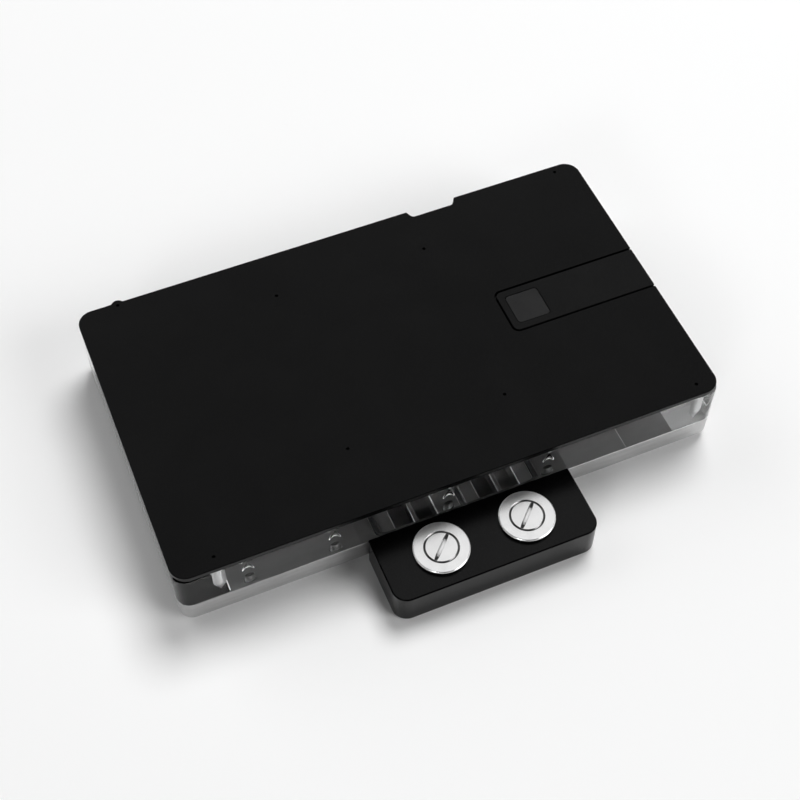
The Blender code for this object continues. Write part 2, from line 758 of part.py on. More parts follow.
def land_outlines():
    reach = PEDESTAL_SIDE / 2 + LAND_GAP
    half_side = SIDE_LAND_LENGTH / 2
    half_cross = CROSS_LAND_LENGTH / 2
    far = reach + LAND_WIDTH
    yield rectangle(FLOW_X - far, FLOW_X - reach, DIE_Y - half_side, DIE_Y + half_side, LAND_CORNER)
    yield rectangle(FLOW_X + reach, FLOW_X + far, DIE_Y - half_side, DIE_Y + half_side, LAND_CORNER)
    yield rectangle(FLOW_X - half_cross, FLOW_X + half_cross, DIE_Y - far, DIE_Y - reach, LAND_CORNER)
    yield rectangle(FLOW_X - half_cross, FLOW_X + half_cross, DIE_Y + reach, DIE_Y + far, LAND_CORNER)
    front = POWER_LAND_Y - POWER_LAND_LENGTH / 2
    back = POWER_LAND_Y + POWER_LAND_LENGTH / 2
    half_width = POWER_LAND_WIDTH / 2
    for x in POWER_LAND_X:
        yield rectangle(x - half_width, x + half_width, front, back, LAND_CORNER)


def build_cold_plate(parent, materials):
    plate = prisms(
        "cold_plate", [body_outline(BODY_CORNER)], COLD_BOTTOM, COLD_TOP, materials["nickel"], parent
    )
    chamfer(plate, EDGE_CHAMFER)

    lands = prisms(
        "component_lands", land_outlines(), COLD_BOTTOM - LAND_HEIGHT, COLD_BOTTOM + ROOT_SINK, None, parent
    )
    combine(plate, lands, "UNION")
    half_die = PEDESTAL_SIDE / 2
    pedestal = prisms(
        "die_pedestal",
        [rectangle(FLOW_X - half_die, FLOW_X + half_die, DIE_Y - half_die, DIE_Y + half_die, LAND_CORNER)],
        COLD_BOTTOM - PEDESTAL_HEIGHT,
        COLD_BOTTOM + ROOT_SINK,
        None,
        parent,
    )
    combine(plate, pedestal, "UNION")
    standoff = [
        (0, 0),
        (STANDOFF_RADIUS, 0),
        (STANDOFF_RADIUS, COLD_BOTTOM + ROOT_SINK),
        (0, COLD_BOTTOM + ROOT_SINK),
    ]
    bosses = turned("standoffs", standoff, standoff_places(), ROUND_SIDES, None, parent)
    combine(plate, bosses, "UNION")
    tabs = prisms(
        "terminal_tabs",
        [
            round_corners(
                [
                    (x - TAB_WIDTH / 2, -TAB_REACH, TAB_CORNER),
                    (x + TAB_WIDTH / 2, -TAB_REACH, TAB_CORNER),
                    (x + TAB_WIDTH / 2, OVERCUT, 0),
                    (x - TAB_WIDTH / 2, OVERCUT, 0),
                ]
            )
            for x in TAB_X
        ],
        COLD_BOTTOM + EDGE_CHAMFER,
        COLD_BOTTOM + TAB_THICKNESS,
        None,
        parent,
    )
    combine(plate, tabs, "UNION")

    flow = prisms("flow_pocket", [flow_outline()], CHANNEL_FLOOR, COLD_TOP + OVERCUT, None, parent)
    combine(plate, flow, "DIFFERENCE")
    ledge = prisms(
        "flow_plate_seat",
        [flow_plate_box(FIT_GAP)],
        CHANNEL_FLOOR + FIN_HEIGHT,
        COLD_TOP + OVERCUT,
        None,
        parent,
    )
    combine(plate, ledge, "DIFFERENCE")
    fins = prisms(
        "fins",
        fin_outlines(),
        CHANNEL_FLOOR - ROOT_SINK,
        CHANNEL_FLOOR + FIN_HEIGHT,
        None,
        parent,
    )
    combine(plate, fins, "UNION")
    ribs = prisms(
        "channel_ribs",
        [rectangle(*rib, CHANNEL_FRONT - ROOT_SINK, RIB_END) for rib in (LEFT_RIB, RIGHT_RIB)],
        CHANNEL_FLOOR - ROOT_SINK,
        COLD_TOP - ROOT_SINK,
        None,
        parent,
    )
    combine(plate, ribs, "UNION")

    groove = seal_band("seal_groove", GROOVE_WIDTH, COLD_TOP - GROOVE_DEPTH, COLD_TOP + OVERCUT, None, parent)
    combine(plate, groove, "DIFFERENCE")
    deep = prisms(
        "corner_reliefs",
        [
            round_corners(
                [
                    (RELIEF_WALL, RELIEF_WALL, BODY_CORNER - RELIEF_WALL),
                    (LEFT_RELIEF_END, RELIEF_WALL, RELIEF_WALL),
                    (LEFT_RELIEF_END, RELIEF_REAR, RELIEF_WALL),
                    (RELIEF_WALL, RELIEF_REAR, RELIEF_WALL),
                ]
            ),
            round_corners(
                [
                    (RIGHT_RELIEF_START, RELIEF_WALL, RELIEF_WALL),
                    (BODY_LENGTH - RELIEF_WALL, RELIEF_WALL, BODY_CORNER - RELIEF_WALL),
                    (BODY_LENGTH - RELIEF_WALL, RELIEF_REAR, RELIEF_WALL),
                    (RIGHT_RELIEF_START, RELIEF_REAR, RELIEF_WALL),
                ]
            ),
        ],
        COLD_TOP - RELIEF_DEPTH,
        COLD_TOP + OVERCUT,
        None,
        parent,
    )
    combine(plate, deep, "DIFFERENCE")
    shallow = prisms(
        "shallow_relief",
        [rectangle(SHALLOW_RELIEF_START, RIGHT_RELIEF_START + OVERCUT, RELIEF_WALL, RELIEF_REAR)],
        COLD_TOP - SHALLOW_RELIEF_DEPTH,
        COLD_TOP + OVERCUT,
        None,
        parent,
    )
    combine(plate, shallow, "DIFFERENCE")

    half_passage = PASSAGE_WIDTH / 2
    windows = prisms(
        "front_windows",
        [rectangle(x - half_passage, x + half_passage, -OVERCUT, CHANNEL_FRONT + OVERCUT) for x in PASSAGE_X],
        PASSAGE_BOTTOM,
        PASSAGE_TOP,
        None,
        parent,
    )
    combine(plate, windows, "DIFFERENCE")

    bore = BODY_SHANK_RADIUS + FIT_GAP
    head = BODY_HEAD_RADIUS + FIT_GAP
    head_end = COLD_BOTTOM + BODY_HEAD_RECESS + BODY_HEAD_HEIGHT + FIT_GAP
    counterbore = [
        (0, COLD_BOTTOM - OVERCUT),
        (head, COLD_BOTTOM - OVERCUT),
        (head, head_end),
        (bore, head_end),
        (bore, COLD_TOP + OVERCUT),
        (0, COLD_TOP + OVERCUT),
    ]
    thread = [
        (0, -OVERCUT),
        (STANDOFF_HOLE_RADIUS, -OVERCUT),
        (STANDOFF_HOLE_RADIUS, STANDOFF_HOLE_DEPTH),
        (0, STANDOFF_HOLE_DEPTH),
    ]
    slot = BOLT_SHANK_RADIUS + FIT_GAP
    low = COLD_BOTTOM - OVERCUT
    high = COLD_BOTTOM + TAB_THICKNESS + OVERCUT
    through = [(0, low), (slot, low), (slot, high), (0, high)]
    shape = bmesh.new()
    for centre in body_screw_places():
        add_turned(shape, counterbore, centre, ROUND_SIDES)
    for centre in standoff_places():
        add_turned(shape, thread, centre, SCREW_SIDES)
    for x in TAB_X:
        add_turned(shape, through, (x, BOLT_Y), SCREW_SIDES)
    combine(plate, place("drillings", shape, None, parent), "DIFFERENCE")


def build_seal_and_flow_plate(parent, materials):
    seal_bottom = COLD_TOP - GROOVE_DEPTH + FIT_GAP
    seal_band("main_seal", GROOVE_WIDTH - 2 * FIT_GAP, seal_bottom, COLD_TOP, materials["rubber"], parent)

    plate = prisms(
        "flow_plate",
        [flow_plate_box(0)],
        CHANNEL_FLOOR + FIN_HEIGHT + FIT_GAP,
        COLD_TOP,
        materials["flow_plate"],
        parent,
    )
    half_groove = GROOVE_WIDTH / 2
    groove = prisms(
        "flow_plate_groove",
        [rectangle(SEAL_BAR - half_groove, SEAL_BAR + half_groove, 0, BODY_DEPTH)],
        COLD_TOP - GROOVE_DEPTH,
        COLD_TOP + OVERCUT,
        None,
        parent,
    )
    combine(plate, groove, "DIFFERENCE")


def build_body_screws(parent, materials):
    shank_end = CLEAR_BOTTOM + BODY_SCREW_GRIP - COLD_BOTTOM - BODY_HEAD_RECESS
    screw = [
        (0, 0),
        (BODY_HEAD_RADIUS, 0),
        (BODY_HEAD_RADIUS, BODY_HEAD_HEIGHT),
        (BODY_SHANK_RADIUS, BODY_HEAD_HEIGHT),
        (BODY_SHANK_RADIUS, shank_end),
        (0, shank_end),
    ]
    mesh = screw_mesh("body_screw", screw, BODY_HEX, BODY_HEX_DEPTH, 0, materials["steel_screw"])
    height = COLD_BOTTOM + BODY_HEAD_RECESS
    for number, (x, y) in enumerate(body_screw_places(), 1):
        place_mesh(f"body_screw_{number}", mesh.copy(), materials["steel_screw"], parent, (x, y, height))


def build_terminal(parent, materials):
    front = TERMINAL_BACK - TERMINAL_DEPTH
    block = prisms(
        "terminal_block",
        [
            round_corners(
                [
                    (TERMINAL_LEFT, front, TERMINAL_FRONT_CORNER),
                    (TERMINAL_RIGHT, front, TERMINAL_FRONT_CORNER),
                    (TERMINAL_RIGHT, TERMINAL_BACK, TERMINAL_BACK_CORNER),
                    (TERMINAL_LEFT, TERMINAL_BACK, TERMINAL_BACK_CORNER),
                ]
            )
        ],
        0,
        TERMINAL_HEIGHT,
        materials["acetal"],
        parent,
    )
    chamfer(block, TERMINAL_CHAMFER)

    half_passage = PASSAGE_WIDTH / 2
    passages = prisms(
        "passages",
        [rectangle(x - half_passage, x + half_passage, PORT_Y, OVERCUT) for x in PASSAGE_X],
        PASSAGE_BOTTOM,
        PASSAGE_TOP,
        None,
        parent,
    )
    combine(block, passages, "DIFFERENCE")
    port = [
        (0, -OVERCUT),
        (PORT_RADIUS, -OVERCUT),
        (PORT_RADIUS, TERMINAL_HEIGHT - PORT_STEP_DEPTH),
        (PORT_STEP_RADIUS, TERMINAL_HEIGHT - PORT_STEP_DEPTH),
        (PORT_STEP_RADIUS, TERMINAL_HEIGHT + OVERCUT),
        (0, TERMINAL_HEIGHT + OVERCUT),
    ]
    ports = turned("port_bores", port, [(x, PORT_Y) for x in PORT_X], PORT_SIDES, None, parent)
    combine(block, ports, "DIFFERENCE")

    half_tab = TAB_WIDTH / 2 + FIT_GAP
    recess_top = COLD_BOTTOM + TAB_THICKNESS + FIT_GAP
    recesses = prisms(
        "tab_recesses",
        [rectangle(x - half_tab, x + half_tab, -TAB_REACH - FIT_GAP, OVERCUT) for x in TAB_X],
        -OVERCUT,
        recess_top,
        None,
        parent,
    )
    combine(block, recesses, "DIFFERENCE")
    radius = BOLT_SHANK_RADIUS + FIT_GAP
    tapped = [
        (0, COLD_BOTTOM),
        (radius, COLD_BOTTOM),
        (radius, recess_top + BOLT_HOLE_DEPTH),
        (0, recess_top + BOLT_HOLE_DEPTH),
    ]
    threads = turned("bolt_threads", tapped, [(x, BOLT_Y) for x in TAB_X], SCREW_SIDES, None, parent)
    combine(block, threads, "DIFFERENCE")

    passage_height = PASSAGE_TOP - PASSAGE_BOTTOM
    passage_middle = (PASSAGE_TOP + PASSAGE_BOTTOM) / 2
    groove_front = TERMINAL_BACK - PASSAGE_GROOVE_DEPTH
    for side, x in zip(("left", "right"), PASSAGE_X):
        groove = loop_tool(
            f"seal_groove_{side}",
            x,
            passage_middle,
            PASSAGE_WIDTH + 2 * PASSAGE_SEAL_LAND,
            passage_height + 2 * PASSAGE_SEAL_LAND,
            PASSAGE_GROOVE_WIDTH,
            groove_front,
            OVERCUT,
            None,
            parent,
        )
        combine(block, groove, "DIFFERENCE")
        loop_tool(
            f"terminal_seal_{side}",
            x,
            passage_middle,
            PASSAGE_WIDTH + 2 * PASSAGE_SEAL_LAND + 2 * FIT_GAP,
            passage_height + 2 * PASSAGE_SEAL_LAND + 2 * FIT_GAP,
            PASSAGE_GROOVE_WIDTH - 2 * FIT_GAP,
            groove_front + FIT_GAP,
            TERMINAL_BACK,
            materials["rubber"],
            parent,
        )


def build_terminal_bolts(parent, materials):
    bolt = [
        (0, 0),
        (BOLT_HEAD_RADIUS, 0),
        (BOLT_HEAD_RADIUS, BOLT_HEAD_HEIGHT),
        (BOLT_SHANK_RADIUS, BOLT_HEAD_HEIGHT),
        (BOLT_SHANK_RADIUS, BOLT_HEAD_HEIGHT + BOLT_LENGTH),
        (0, BOLT_HEAD_HEIGHT + BOLT_LENGTH),
    ]
    mesh = screw_mesh("terminal_bolt", bolt, BOLT_HEX, BOLT_HEX_DEPTH, 0, materials["steel_screw"])
    height = COLD_BOTTOM + EDGE_CHAMFER - FIT_GAP - BOLT_HEAD_HEIGHT
    for number, x in enumerate(TAB_X, 1):
        place = (x, BOLT_Y, height)
        place_mesh(f"terminal_bolt_{number}", mesh.copy(), materials["steel_screw"], parent, place)


def slot_cutter(name, parent):
    """A thin disc that stands on edge over the plug, so that the slot's floor is an arc."""
    half = SLOT_LENGTH / 2
    radius = (half * half + SLOT_DEPTH * SLOT_DEPTH) / (2 * SLOT_DEPTH)
    shape = bmesh.new()
    bmesh.ops.create_cone(
        shape, cap_ends=True, segments=SLOT_SIDES, radius1=radius, radius2=radius, depth=SLOT_WIDTH
    )
    cutter = place(name, shape, None, parent, (0, 0, PLUG_HEAD_HEIGHT - SLOT_DEPTH + radius))
    cutter.rotation_euler = (math.pi / 2, 0, SLOT_ANGLE)
    return cutter


def build_plug(name, x, parent, materials):
    """A plug with a ring groove and a coin slot in its face."""
    groove_inner = PLUG_GROOVE_RADIUS - PLUG_GROOVE_WIDTH / 2
    groove_outer = PLUG_GROOVE_RADIUS + PLUG_GROOVE_WIDTH / 2
    profile = [
        (0, -PLUG_STUB_LENGTH + PLUG_BORE_DEPTH),
        (PLUG_BORE_RADIUS, -PLUG_STUB_LENGTH + PLUG_BORE_DEPTH),
        (PLUG_BORE_RADIUS, -PLUG_STUB_LENGTH),
        (PLUG_STUB_RADIUS, -PLUG_STUB_LENGTH),
        (PLUG_STUB_RADIUS, 0),
        (PLUG_RADIUS, 0),
        (PLUG_RADIUS, PLUG_HEAD_HEIGHT - PLUG_EDGE),
        (PLUG_RADIUS - PLUG_EDGE, PLUG_HEAD_HEIGHT),
        (groove_outer, PLUG_HEAD_HEIGHT),
        (PLUG_GROOVE_RADIUS, PLUG_HEAD_HEIGHT - PLUG_GROOVE_DEPTH),
        (groove_inner, PLUG_HEAD_HEIGHT),
        (0, PLUG_HEAD_HEIGHT),
    ]
    plug = turned(name, profile, [(0, 0)], PLUG_SIDES, materials["plug"], parent)
    plug.location = (x, PORT_Y, TERMINAL_HEIGHT + SEAM)
    combine(plug, slot_cutter(name + "_slot", plug), "DIFFERENCE")


def build_o_ring(name, x, parent, materials):
    """A ring round the plug's neck, in the step at the top of the port."""
    middle = PLUG_STUB_RADIUS + FIT_GAP + O_RING_SECTION
    shape = bmesh.new()
    points = [
        shape.verts.new(
            (
                middle + O_RING_SECTION * math.cos(math.tau * step / O_RING_STEPS),
                0,
                O_RING_SECTION * math.sin(math.tau * step / O_RING_STEPS),
            )
        )
        for step in range(O_RING_STEPS)
    ]
    edges = [shape.edges.new((points[step - 1], points[step])) for step in range(O_RING_STEPS)]
    bmesh.ops.spin(
        shape,
        geom=points + edges,
        cent=(0, 0, 0),
        axis=(0, 0, 1),
        angle=math.tau,
        steps=O_RING_SEGMENTS,
        use_merge=True,
    )
    height = TERMINAL_HEIGHT - PORT_STEP_DEPTH + FIT_GAP + O_RING_SECTION
    place(name, shape, materials["rubber"], parent, (x, PORT_Y, height))


def make_materials():
    return {
        "cover": make_material("black_anodised", (0.012, 0.012, 0.013), 0.45, 0.6),
        "strip": make_material("black_strip", (0.010, 0.010, 0.011), 0.30, 0.4),
        "tile": make_material("badge_tile", (0.030, 0.030, 0.032), 0.25, 0.4),
        "acrylic": make_material("clear_acrylic", (0.90, 0.92, 0.93), 0.05, 0.0, 0.3),
        "nickel": make_material("nickel_plate", (0.66, 0.64, 0.61), 0.25, 1.0),
        "flow_plate": make_material("flow_plate_steel", (0.60, 0.60, 0.60), 0.35, 1.0),
        "rubber": make_material("black_rubber", (0.02, 0.02, 0.02), 0.7, 0.0),
        "acetal": make_material("black_acetal", (0.012, 0.012, 0.012), 0.4, 0.0),
        "plug": make_material("bright_plug", (0.86, 0.86, 0.86), 0.12, 1.0),
        "bush": make_material("bright_bush", (0.80, 0.80, 0.80), 0.3, 1.0),
        "black_screw": make_material("black_screw", (0.015, 0.015, 0.015), 0.4, 0.8),
        "steel_screw": make_material("steel_screw", (0.55, 0.55, 0.56), 0.3, 1.0),
    }


def main():
    clear_scene()
    materials = make_materials()
    body = bpy.data.objects.new("water_block", None)
    bpy.context.scene.collection.objects.link(body)
    body.location = -MIDDLE

    build_cover(body, materials)
    build_clear_top(body, materials)
    build_inserts_and_cover_screws(body, materials)
    build_cold_plate(body, materials)
    build_seal_and_flow_plate(body, materials)
    build_body_screws(body, materials)
    build_terminal(body, materials)
    build_terminal_bolts(body, materials)
    for side, x in zip(("left", "right"), PORT_X):
        build_plug(f"port_plug_{side}", x, body, materials)
        build_o_ring(f"plug_o_ring_{side}", x, body, materials)


main()
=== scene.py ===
# Studio scene of a full-cover water block for a graphics card
import math

import bmesh
import bpy
from mathutils import Matrix, Vector


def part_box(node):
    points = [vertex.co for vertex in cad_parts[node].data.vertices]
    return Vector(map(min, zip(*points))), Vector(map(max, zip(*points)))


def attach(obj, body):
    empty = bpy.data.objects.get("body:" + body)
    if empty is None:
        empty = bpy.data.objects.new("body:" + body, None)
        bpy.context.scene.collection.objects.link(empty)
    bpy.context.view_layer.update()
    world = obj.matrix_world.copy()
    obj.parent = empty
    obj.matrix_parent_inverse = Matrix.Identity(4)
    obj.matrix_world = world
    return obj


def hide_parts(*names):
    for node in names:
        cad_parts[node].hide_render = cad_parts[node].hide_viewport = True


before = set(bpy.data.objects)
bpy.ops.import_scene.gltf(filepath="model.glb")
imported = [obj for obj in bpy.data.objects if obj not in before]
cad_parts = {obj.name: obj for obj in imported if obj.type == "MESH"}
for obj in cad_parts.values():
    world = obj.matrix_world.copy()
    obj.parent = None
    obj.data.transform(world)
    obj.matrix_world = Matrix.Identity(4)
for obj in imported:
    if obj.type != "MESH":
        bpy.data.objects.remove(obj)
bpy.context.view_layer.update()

# Shapes are drawn in millimetres from the left front corner of the body, with the table at height 0
perMetre = 1000
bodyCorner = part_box("clear_top")[0]
toFrame = Matrix.Translation((bodyCorner.x, bodyCorner.y, 0)) @ Matrix.Scale(1 / perMetre, 4)
toDrawing = toFrame.inverted()
overcut = 1  # how far a cutting tool stands out of what it cuts


def heights(node):
    low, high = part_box(node)
    return low.z * perMetre, high.z * perMetre


def middleOf(node):
    # where a small round piece stands on the body
    low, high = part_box(node)
    across = (low.x + high.x) / 2 - bodyCorner.x
    along = (low.y + high.y) / 2 - bodyCorner.y
    return across * perMetre, along * perMetre


coldHigh = heights("cold_plate")[1]
clearLow, clearHigh = heights("clear_top")
coverLow, coverHigh = heights("cover_plate")
terminalHigh = heights("terminal_block")[1]

# Drawing and cutting


def onCircle(centre, radius, angle):
    return centre[0] + radius * math.cos(angle), centre[1] + radius * math.sin(angle)


def roundedOutline(corners, arcStep=6):
    # corners are (x, y, radius) in turning order, arcStep is in degrees
    outline = []
    for index, (x, y, radius) in enumerate(corners):
        here = Vector((x, y))
        if radius == 0:
            outline.append(here)
            continue
        before = (Vector(corners[index - 1][:2]) - here).normalized()
        after = (Vector(corners[(index + 1) % len(corners)][:2]) - here).normalized()
        half = before.angle(after) / 2
        centre = here + (before + after).normalized() * radius / math.sin(half)
        first = here + before * radius / math.tan(half) - centre
        turn = first.angle_signed(here + after * radius / math.tan(half) - centre)
        steps = max(3, round(abs(math.degrees(turn)) / arcStep))
        for step in range(steps + 1):
            outline.append(centre + Matrix.Rotation(-turn * step / steps, 2) @ first)
    return outline


def roundedBox(left, right, front, back, radius=0.0):
    corners = ((left, front), (right, front), (right, back), (left, back))
    return roundedOutline([(x, y, radius) for x, y in corners])


def boxRound(x, y, width, depth, radius=0.0):
    return roundedBox(x - width / 2, x + width / 2, y - depth / 2, y + depth / 2, radius)


def addSlab(shape, outline, low, high):
    points = [shape.verts.new((x, y, low)) for x, y in outline]
    base = shape.faces.new(points)
    risen = bmesh.ops.extrude_face_region(shape, geom=[base])
    moved = [item for item in risen["geom"] if isinstance(item, bmesh.types.BMVert)]
    bmesh.ops.translate(shape, verts=moved, vec=(0, 0, high - low))


def grown(outline, width):
    # the same outline, moved out by width
    moved = []
    for index, here in enumerate(outline):
        before = (here - outline[index - 1]).normalized()
        after = (outline[(index + 1) % len(outline)] - here).normalized()
        first = Vector((before.y, -before.x))
        second = Vector((after.y, -after.x))
        moved.append(here + (first + second) * width / (1 + first.dot(second)))
    return moved


def grownRings(shape, outline, layers):
    # layers are (how far the outline is grown, height)
    rings = []
    for width, height in layers:
        rings.append([shape.verts.new((x, y, height)) for x, y in grown(outline, width)])
    return rings


def addLayers(shape, outline, layers):
    rings = grownRings(shape, outline, layers)
    joinRings(shape, rings, len(outline))
    shape.faces.new(rings[0])
    shape.faces.new(rings[-1])


def addPocket(shape, outline, floor, top, edge, foot=0.15):
    # a cutter with a small radius at the floor and a broken edge at the top, which goes on above it
    foot = min(foot, (top - floor) / 3)
    above = 0.3
    layers = [(-foot, floor), (-foot * 0.3, floor + foot * 0.3), (0, floor + foot), (0, top - edge)]
    layers += [(edge + above, top + above), (edge + above, top + overcut)]
    addLayers(shape, outline, layers)


def ringAt(shape, centre, radius, height, sides):
    if radius < 1e-6:
        return [shape.verts.new((*centre, height))]
    angles = [math.tau * side / sides for side in range(sides)]
    return [shape.verts.new((*onCircle(centre, radius, angle), height)) for angle in angles]


def ringsOf(shape, profile, sides, centre=(0, 0)):
    # profile is (radius, height)
    return [ringAt(shape, centre, radius, height, sides) for radius, height in profile]


def addTurned(shape, profile, places, sides):
    for place in places:
        joinRings(shape, ringsOf(shape, profile, sides, place), sides)


def threadRings(shape, sides, radius, thread, pitch, low, high, perTurn=6):
    # a few rings for each pitch, with the crest climbing round the axis and fading at both ends
    count = round((high - low) / pitch * perTurn)
    rings = []
    for step in range(count + 1):
        height = low + (high - low) * step / count
        ends = min(1.0, min(height - low, high - height) / pitch)
        ring = []
        for side in range(sides):
            turn = side / sides
            crest = 1 - abs(2 * ((height / pitch - turn) % 1) - 1)
            here = radius - thread * (1 - crest * ends)
            ring.append(shape.verts.new((*onCircle((0, 0), here, math.tau * turn), height)))
        rings.append(ring)
    return rings


def joinRings(shape, rings, sides):
    for low, high in zip(rings, rings[1:]):
        for side in range(sides):
            after = (side + 1) % sides
            if len(low) == 1 and len(high) == 1:
                break
            if len(low) == 1:
                shape.faces.new((low[0], high[after], high[side]))
            elif len(high) == 1:
                shape.faces.new((low[side], low[after], high[0]))
            else:
                shape.faces.new((low[side], low[after], high[after], high[side]))


def addHexagon(shape, width, low, high, turn):
    angles = [turn + math.tau * side / 6 for side in range(6)]
    addSlab(shape, [onCircle((0, 0), width / math.sqrt(3), angle) for angle in angles], low, high)


def newObject(name, data):
    thing = bpy.data.objects.new(name, data)
    bpy.context.scene.collection.objects.link(thing)
    return thing


def toPiece(shape, name, finish=None, place=None):
    # place is given for a turned piece, whose mesh stays round its own axis
    bmesh.ops.recalc_face_normals(shape, faces=shape.faces)
    if place is None:
        bmesh.ops.transform(shape, matrix=toFrame, verts=shape.verts)
    else:
        bmesh.ops.scale(shape, vec=(1 / perMetre,) * 3, verts=shape.verts)
    mesh = bpy.data.meshes.new(name)
    shape.to_mesh(mesh)
    shape.free()
    piece = newObject(name, mesh)
    if finish:
        mesh.materials.append(finish)
    if place is not None:
        piece.location = toFrame @ Vector(place)
    return piece


def slabPiece(name, finish, outline, low, high):
    shape = bmesh.new()
    addSlab(shape, outline, low, high)
    return toPiece(shape, name, finishes[finish])


def threadedPiece(name, finish, place, lower, thread, upper, sides):
    # a piece turned round its own axis, with a thread between two profiles
    shape = bmesh.new()
    rings = ringsOf(shape, lower, sides)
    rings += threadRings(shape, sides, *thread)
    joinRings(shape, rings + ringsOf(shape, upper, sides), sides)
    return toPiece(shape, name, finishes[finish], place)


def breakEdges(piece, width, rounds=1):
    bevel = piece.modifiers.new("broken edges", "BEVEL")
    bevel.width = width / perMetre
    bevel.segments = rounds
    bevel.limit_method = "ANGLE"
    bevel.angle_limit = math.radians(40)


def carve(piece, name, draw, *given, how="DIFFERENCE", place=None):
    # draws the tool and returns it, so that it can be put away once the piece is settled
    shape = bmesh.new()
    draw(shape, *given)
    tool = toPiece(shape, name, None, place)
    tool.hide_render = True
    cut = piece.modifiers.new(name, "BOOLEAN")
    cut.operation = how
    cut.solver = "EXACT"
    cut.object = tool
    return tool


def settle(piece, tools=(), softAngle=28):
    # keeps the result of the modifiers as the piece's own mesh, and shades its curves smooth
    bpy.context.view_layer.update()
    graph = bpy.context.evaluated_depsgraph_get()
    mesh = bpy.data.meshes.new_from_object(piece.evaluated_get(graph))
    mesh.name = piece.name
    piece.modifiers.clear()
    piece.data = mesh
    for tool in tools:
        bpy.data.objects.remove(tool)
    soften(piece, softAngle)


def soften(piece, softAngle):
    piece.data.shade_smooth()
    piece.data.set_sharp_from_angle(angle=math.radians(softAngle))
    weighted = piece.modifiers.new("even shading", "WEIGHTED_NORMAL")
    weighted.mode = "FACE_AREA"
    weighted.keep_sharp = True
    weighted.weight = 80


def paintSideSheenAndEdgeShade(piece, side, edge):
    # the milled sides get a copy of the finish with more shine as a painted sheen, and the broken
    # edge between them and the blasted top a copy with almost none as a painted shade line
    piece.data.materials.append(finishes[side])
    piece.data.materials.append(finishes[edge])
    sideUpTo, edgeUpTo = 0.2, 0.96
    for face in piece.data.polygons:
        if abs(face.normal.z) < sideUpTo:
            face.material_index = 1
        elif sideUpTo <= face.normal.z < edgeUpTo:
            face.material_index = 2


def standIn(piece, slotName, *names):
    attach(piece, "root")
    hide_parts(*names)


# Finishes


def newFinish(name):
    finish = bpy.data.materials.new(name)
    finish.use_nodes = True
    return finish, finish.node_tree, finish.node_tree.nodes["Principled BSDF"]


def grainOf(tree, frequency, detail, stretch=(1, 1, 1)):
    where = tree.nodes.new("ShaderNodeTexCoord")
    scaled = tree.nodes.new("ShaderNodeMapping")
    scaled.inputs["Scale"].default_value = stretch
    grain = tree.nodes.new("ShaderNodeTexNoise")
    grain.inputs["Scale"].default_value = frequency
    grain.inputs["Detail"].default_value = detail
    tree.links.new(where.outputs["Object"], scaled.inputs["Vector"])
    tree.links.new(scaled.outputs["Vector"], grain.inputs["Vector"])
    return grain.outputs["Fac"]


def linesOf(tree, kind, direction, values):
    # tool marks, spacing in millimetres; a wave texture of scale 1 has 20 / tau lines in a metre
    where = tree.nodes.new("ShaderNodeTexCoord")
    wave = tree.nodes.new("ShaderNodeTexWave")
    wave.wave_type = kind
    if kind == "BANDS":
        wave.bands_direction = direction
    else:
        wave.rings_direction = direction
    wave.inputs["Scale"].default_value = math.tau / 20 / (values["spacing"] / perMetre)
    wave.inputs["Distortion"].default_value = values["wobble"]
    wave.inputs["Detail"].default_value = 2.0
    wave.inputs["Detail Scale"].default_value = values["wobbleScale"]
    tree.links.new(where.outputs["Object"], wave.inputs["Vector"])
    return wave.outputs["Fac"]


def colourBetween(tree, factor, dark, light, target):
    ramp = tree.nodes.new("ShaderNodeValToRGB")
    for element, position, colour in zip(ramp.color_ramp.elements, (0.3, 0.7), (dark, light)):
        element.position = position
        element.color = (*colour, 1)
    tree.links.new(factor, ramp.inputs["Fac"])
    tree.links.new(ramp.outputs["Color"], target)


def spreadOf(tree, factor, *limits):
    spread = tree.nodes.new("ShaderNodeMapRange")
    for name, value in zip(("From Min", "From Max", "To Min", "To Max"), limits):
        spread.inputs[name].default_value = value
    tree.links.new(factor, spread.inputs["Value"])
    return spread.outputs["Result"]


def roughBetween(tree, shader, factor, smoothest, roughest):
    spread = spreadOf(tree, factor, 0.25, 0.75, smoothest, roughest)
    tree.links.new(spread, shader.inputs["Roughness"])


def raised(tree, shader, factor, strength, depth):
    # depth in millimetres
    bump = tree.nodes.new("ShaderNodeBump")
    bump.inputs["Strength"].default_value = strength
    bump.inputs["Distance"].default_value = depth / perMetre
    tree.links.new(factor, bump.inputs["Height"])
    tree.links.new(bump.outputs["Normal"], shader.inputs["Normal"])


def dress(tree, shader, values, colourBy, roughBy, heightBy):
    colourBetween(tree, colourBy, values["dark"], values["light"], shader.inputs["Base Color"])
    roughBetween(tree, shader, roughBy, *values["roughness"])
    raised(tree, shader, heightBy, values["bump"], values["depth"])


def paintedOrMoulded(name, values):
    # blasted and dyed, painted or moulded surfaces: fine even grain and faint cloudiness
    finish, tree, shader = newFinish(name)
    fine = grainOf(tree, values["grainPerMetre"], detail=4.0)
    cloudy = grainOf(tree, values["cloudPerMetre"], detail=2.0)
    dress(tree, shader, values, cloudy, fine, fine)
    shader.inputs["Specular IOR Level"].default_value = values["shine"]
    return finish


def milledMetal(name, values):
    # cutter marks across the part, over a slight unevenness of the plating
    finish, tree, shader = newFinish(name)
    marks = linesOf(tree, "BANDS", values["direction"], values)
    cloudy = grainOf(tree, values["cloudPerMetre"], 3.0, values["stretch"])
    dress(tree, shader, values, cloudy, cloudy, marks)
    shader.inputs["Metallic"].default_value = values["metallic"]
    return finish


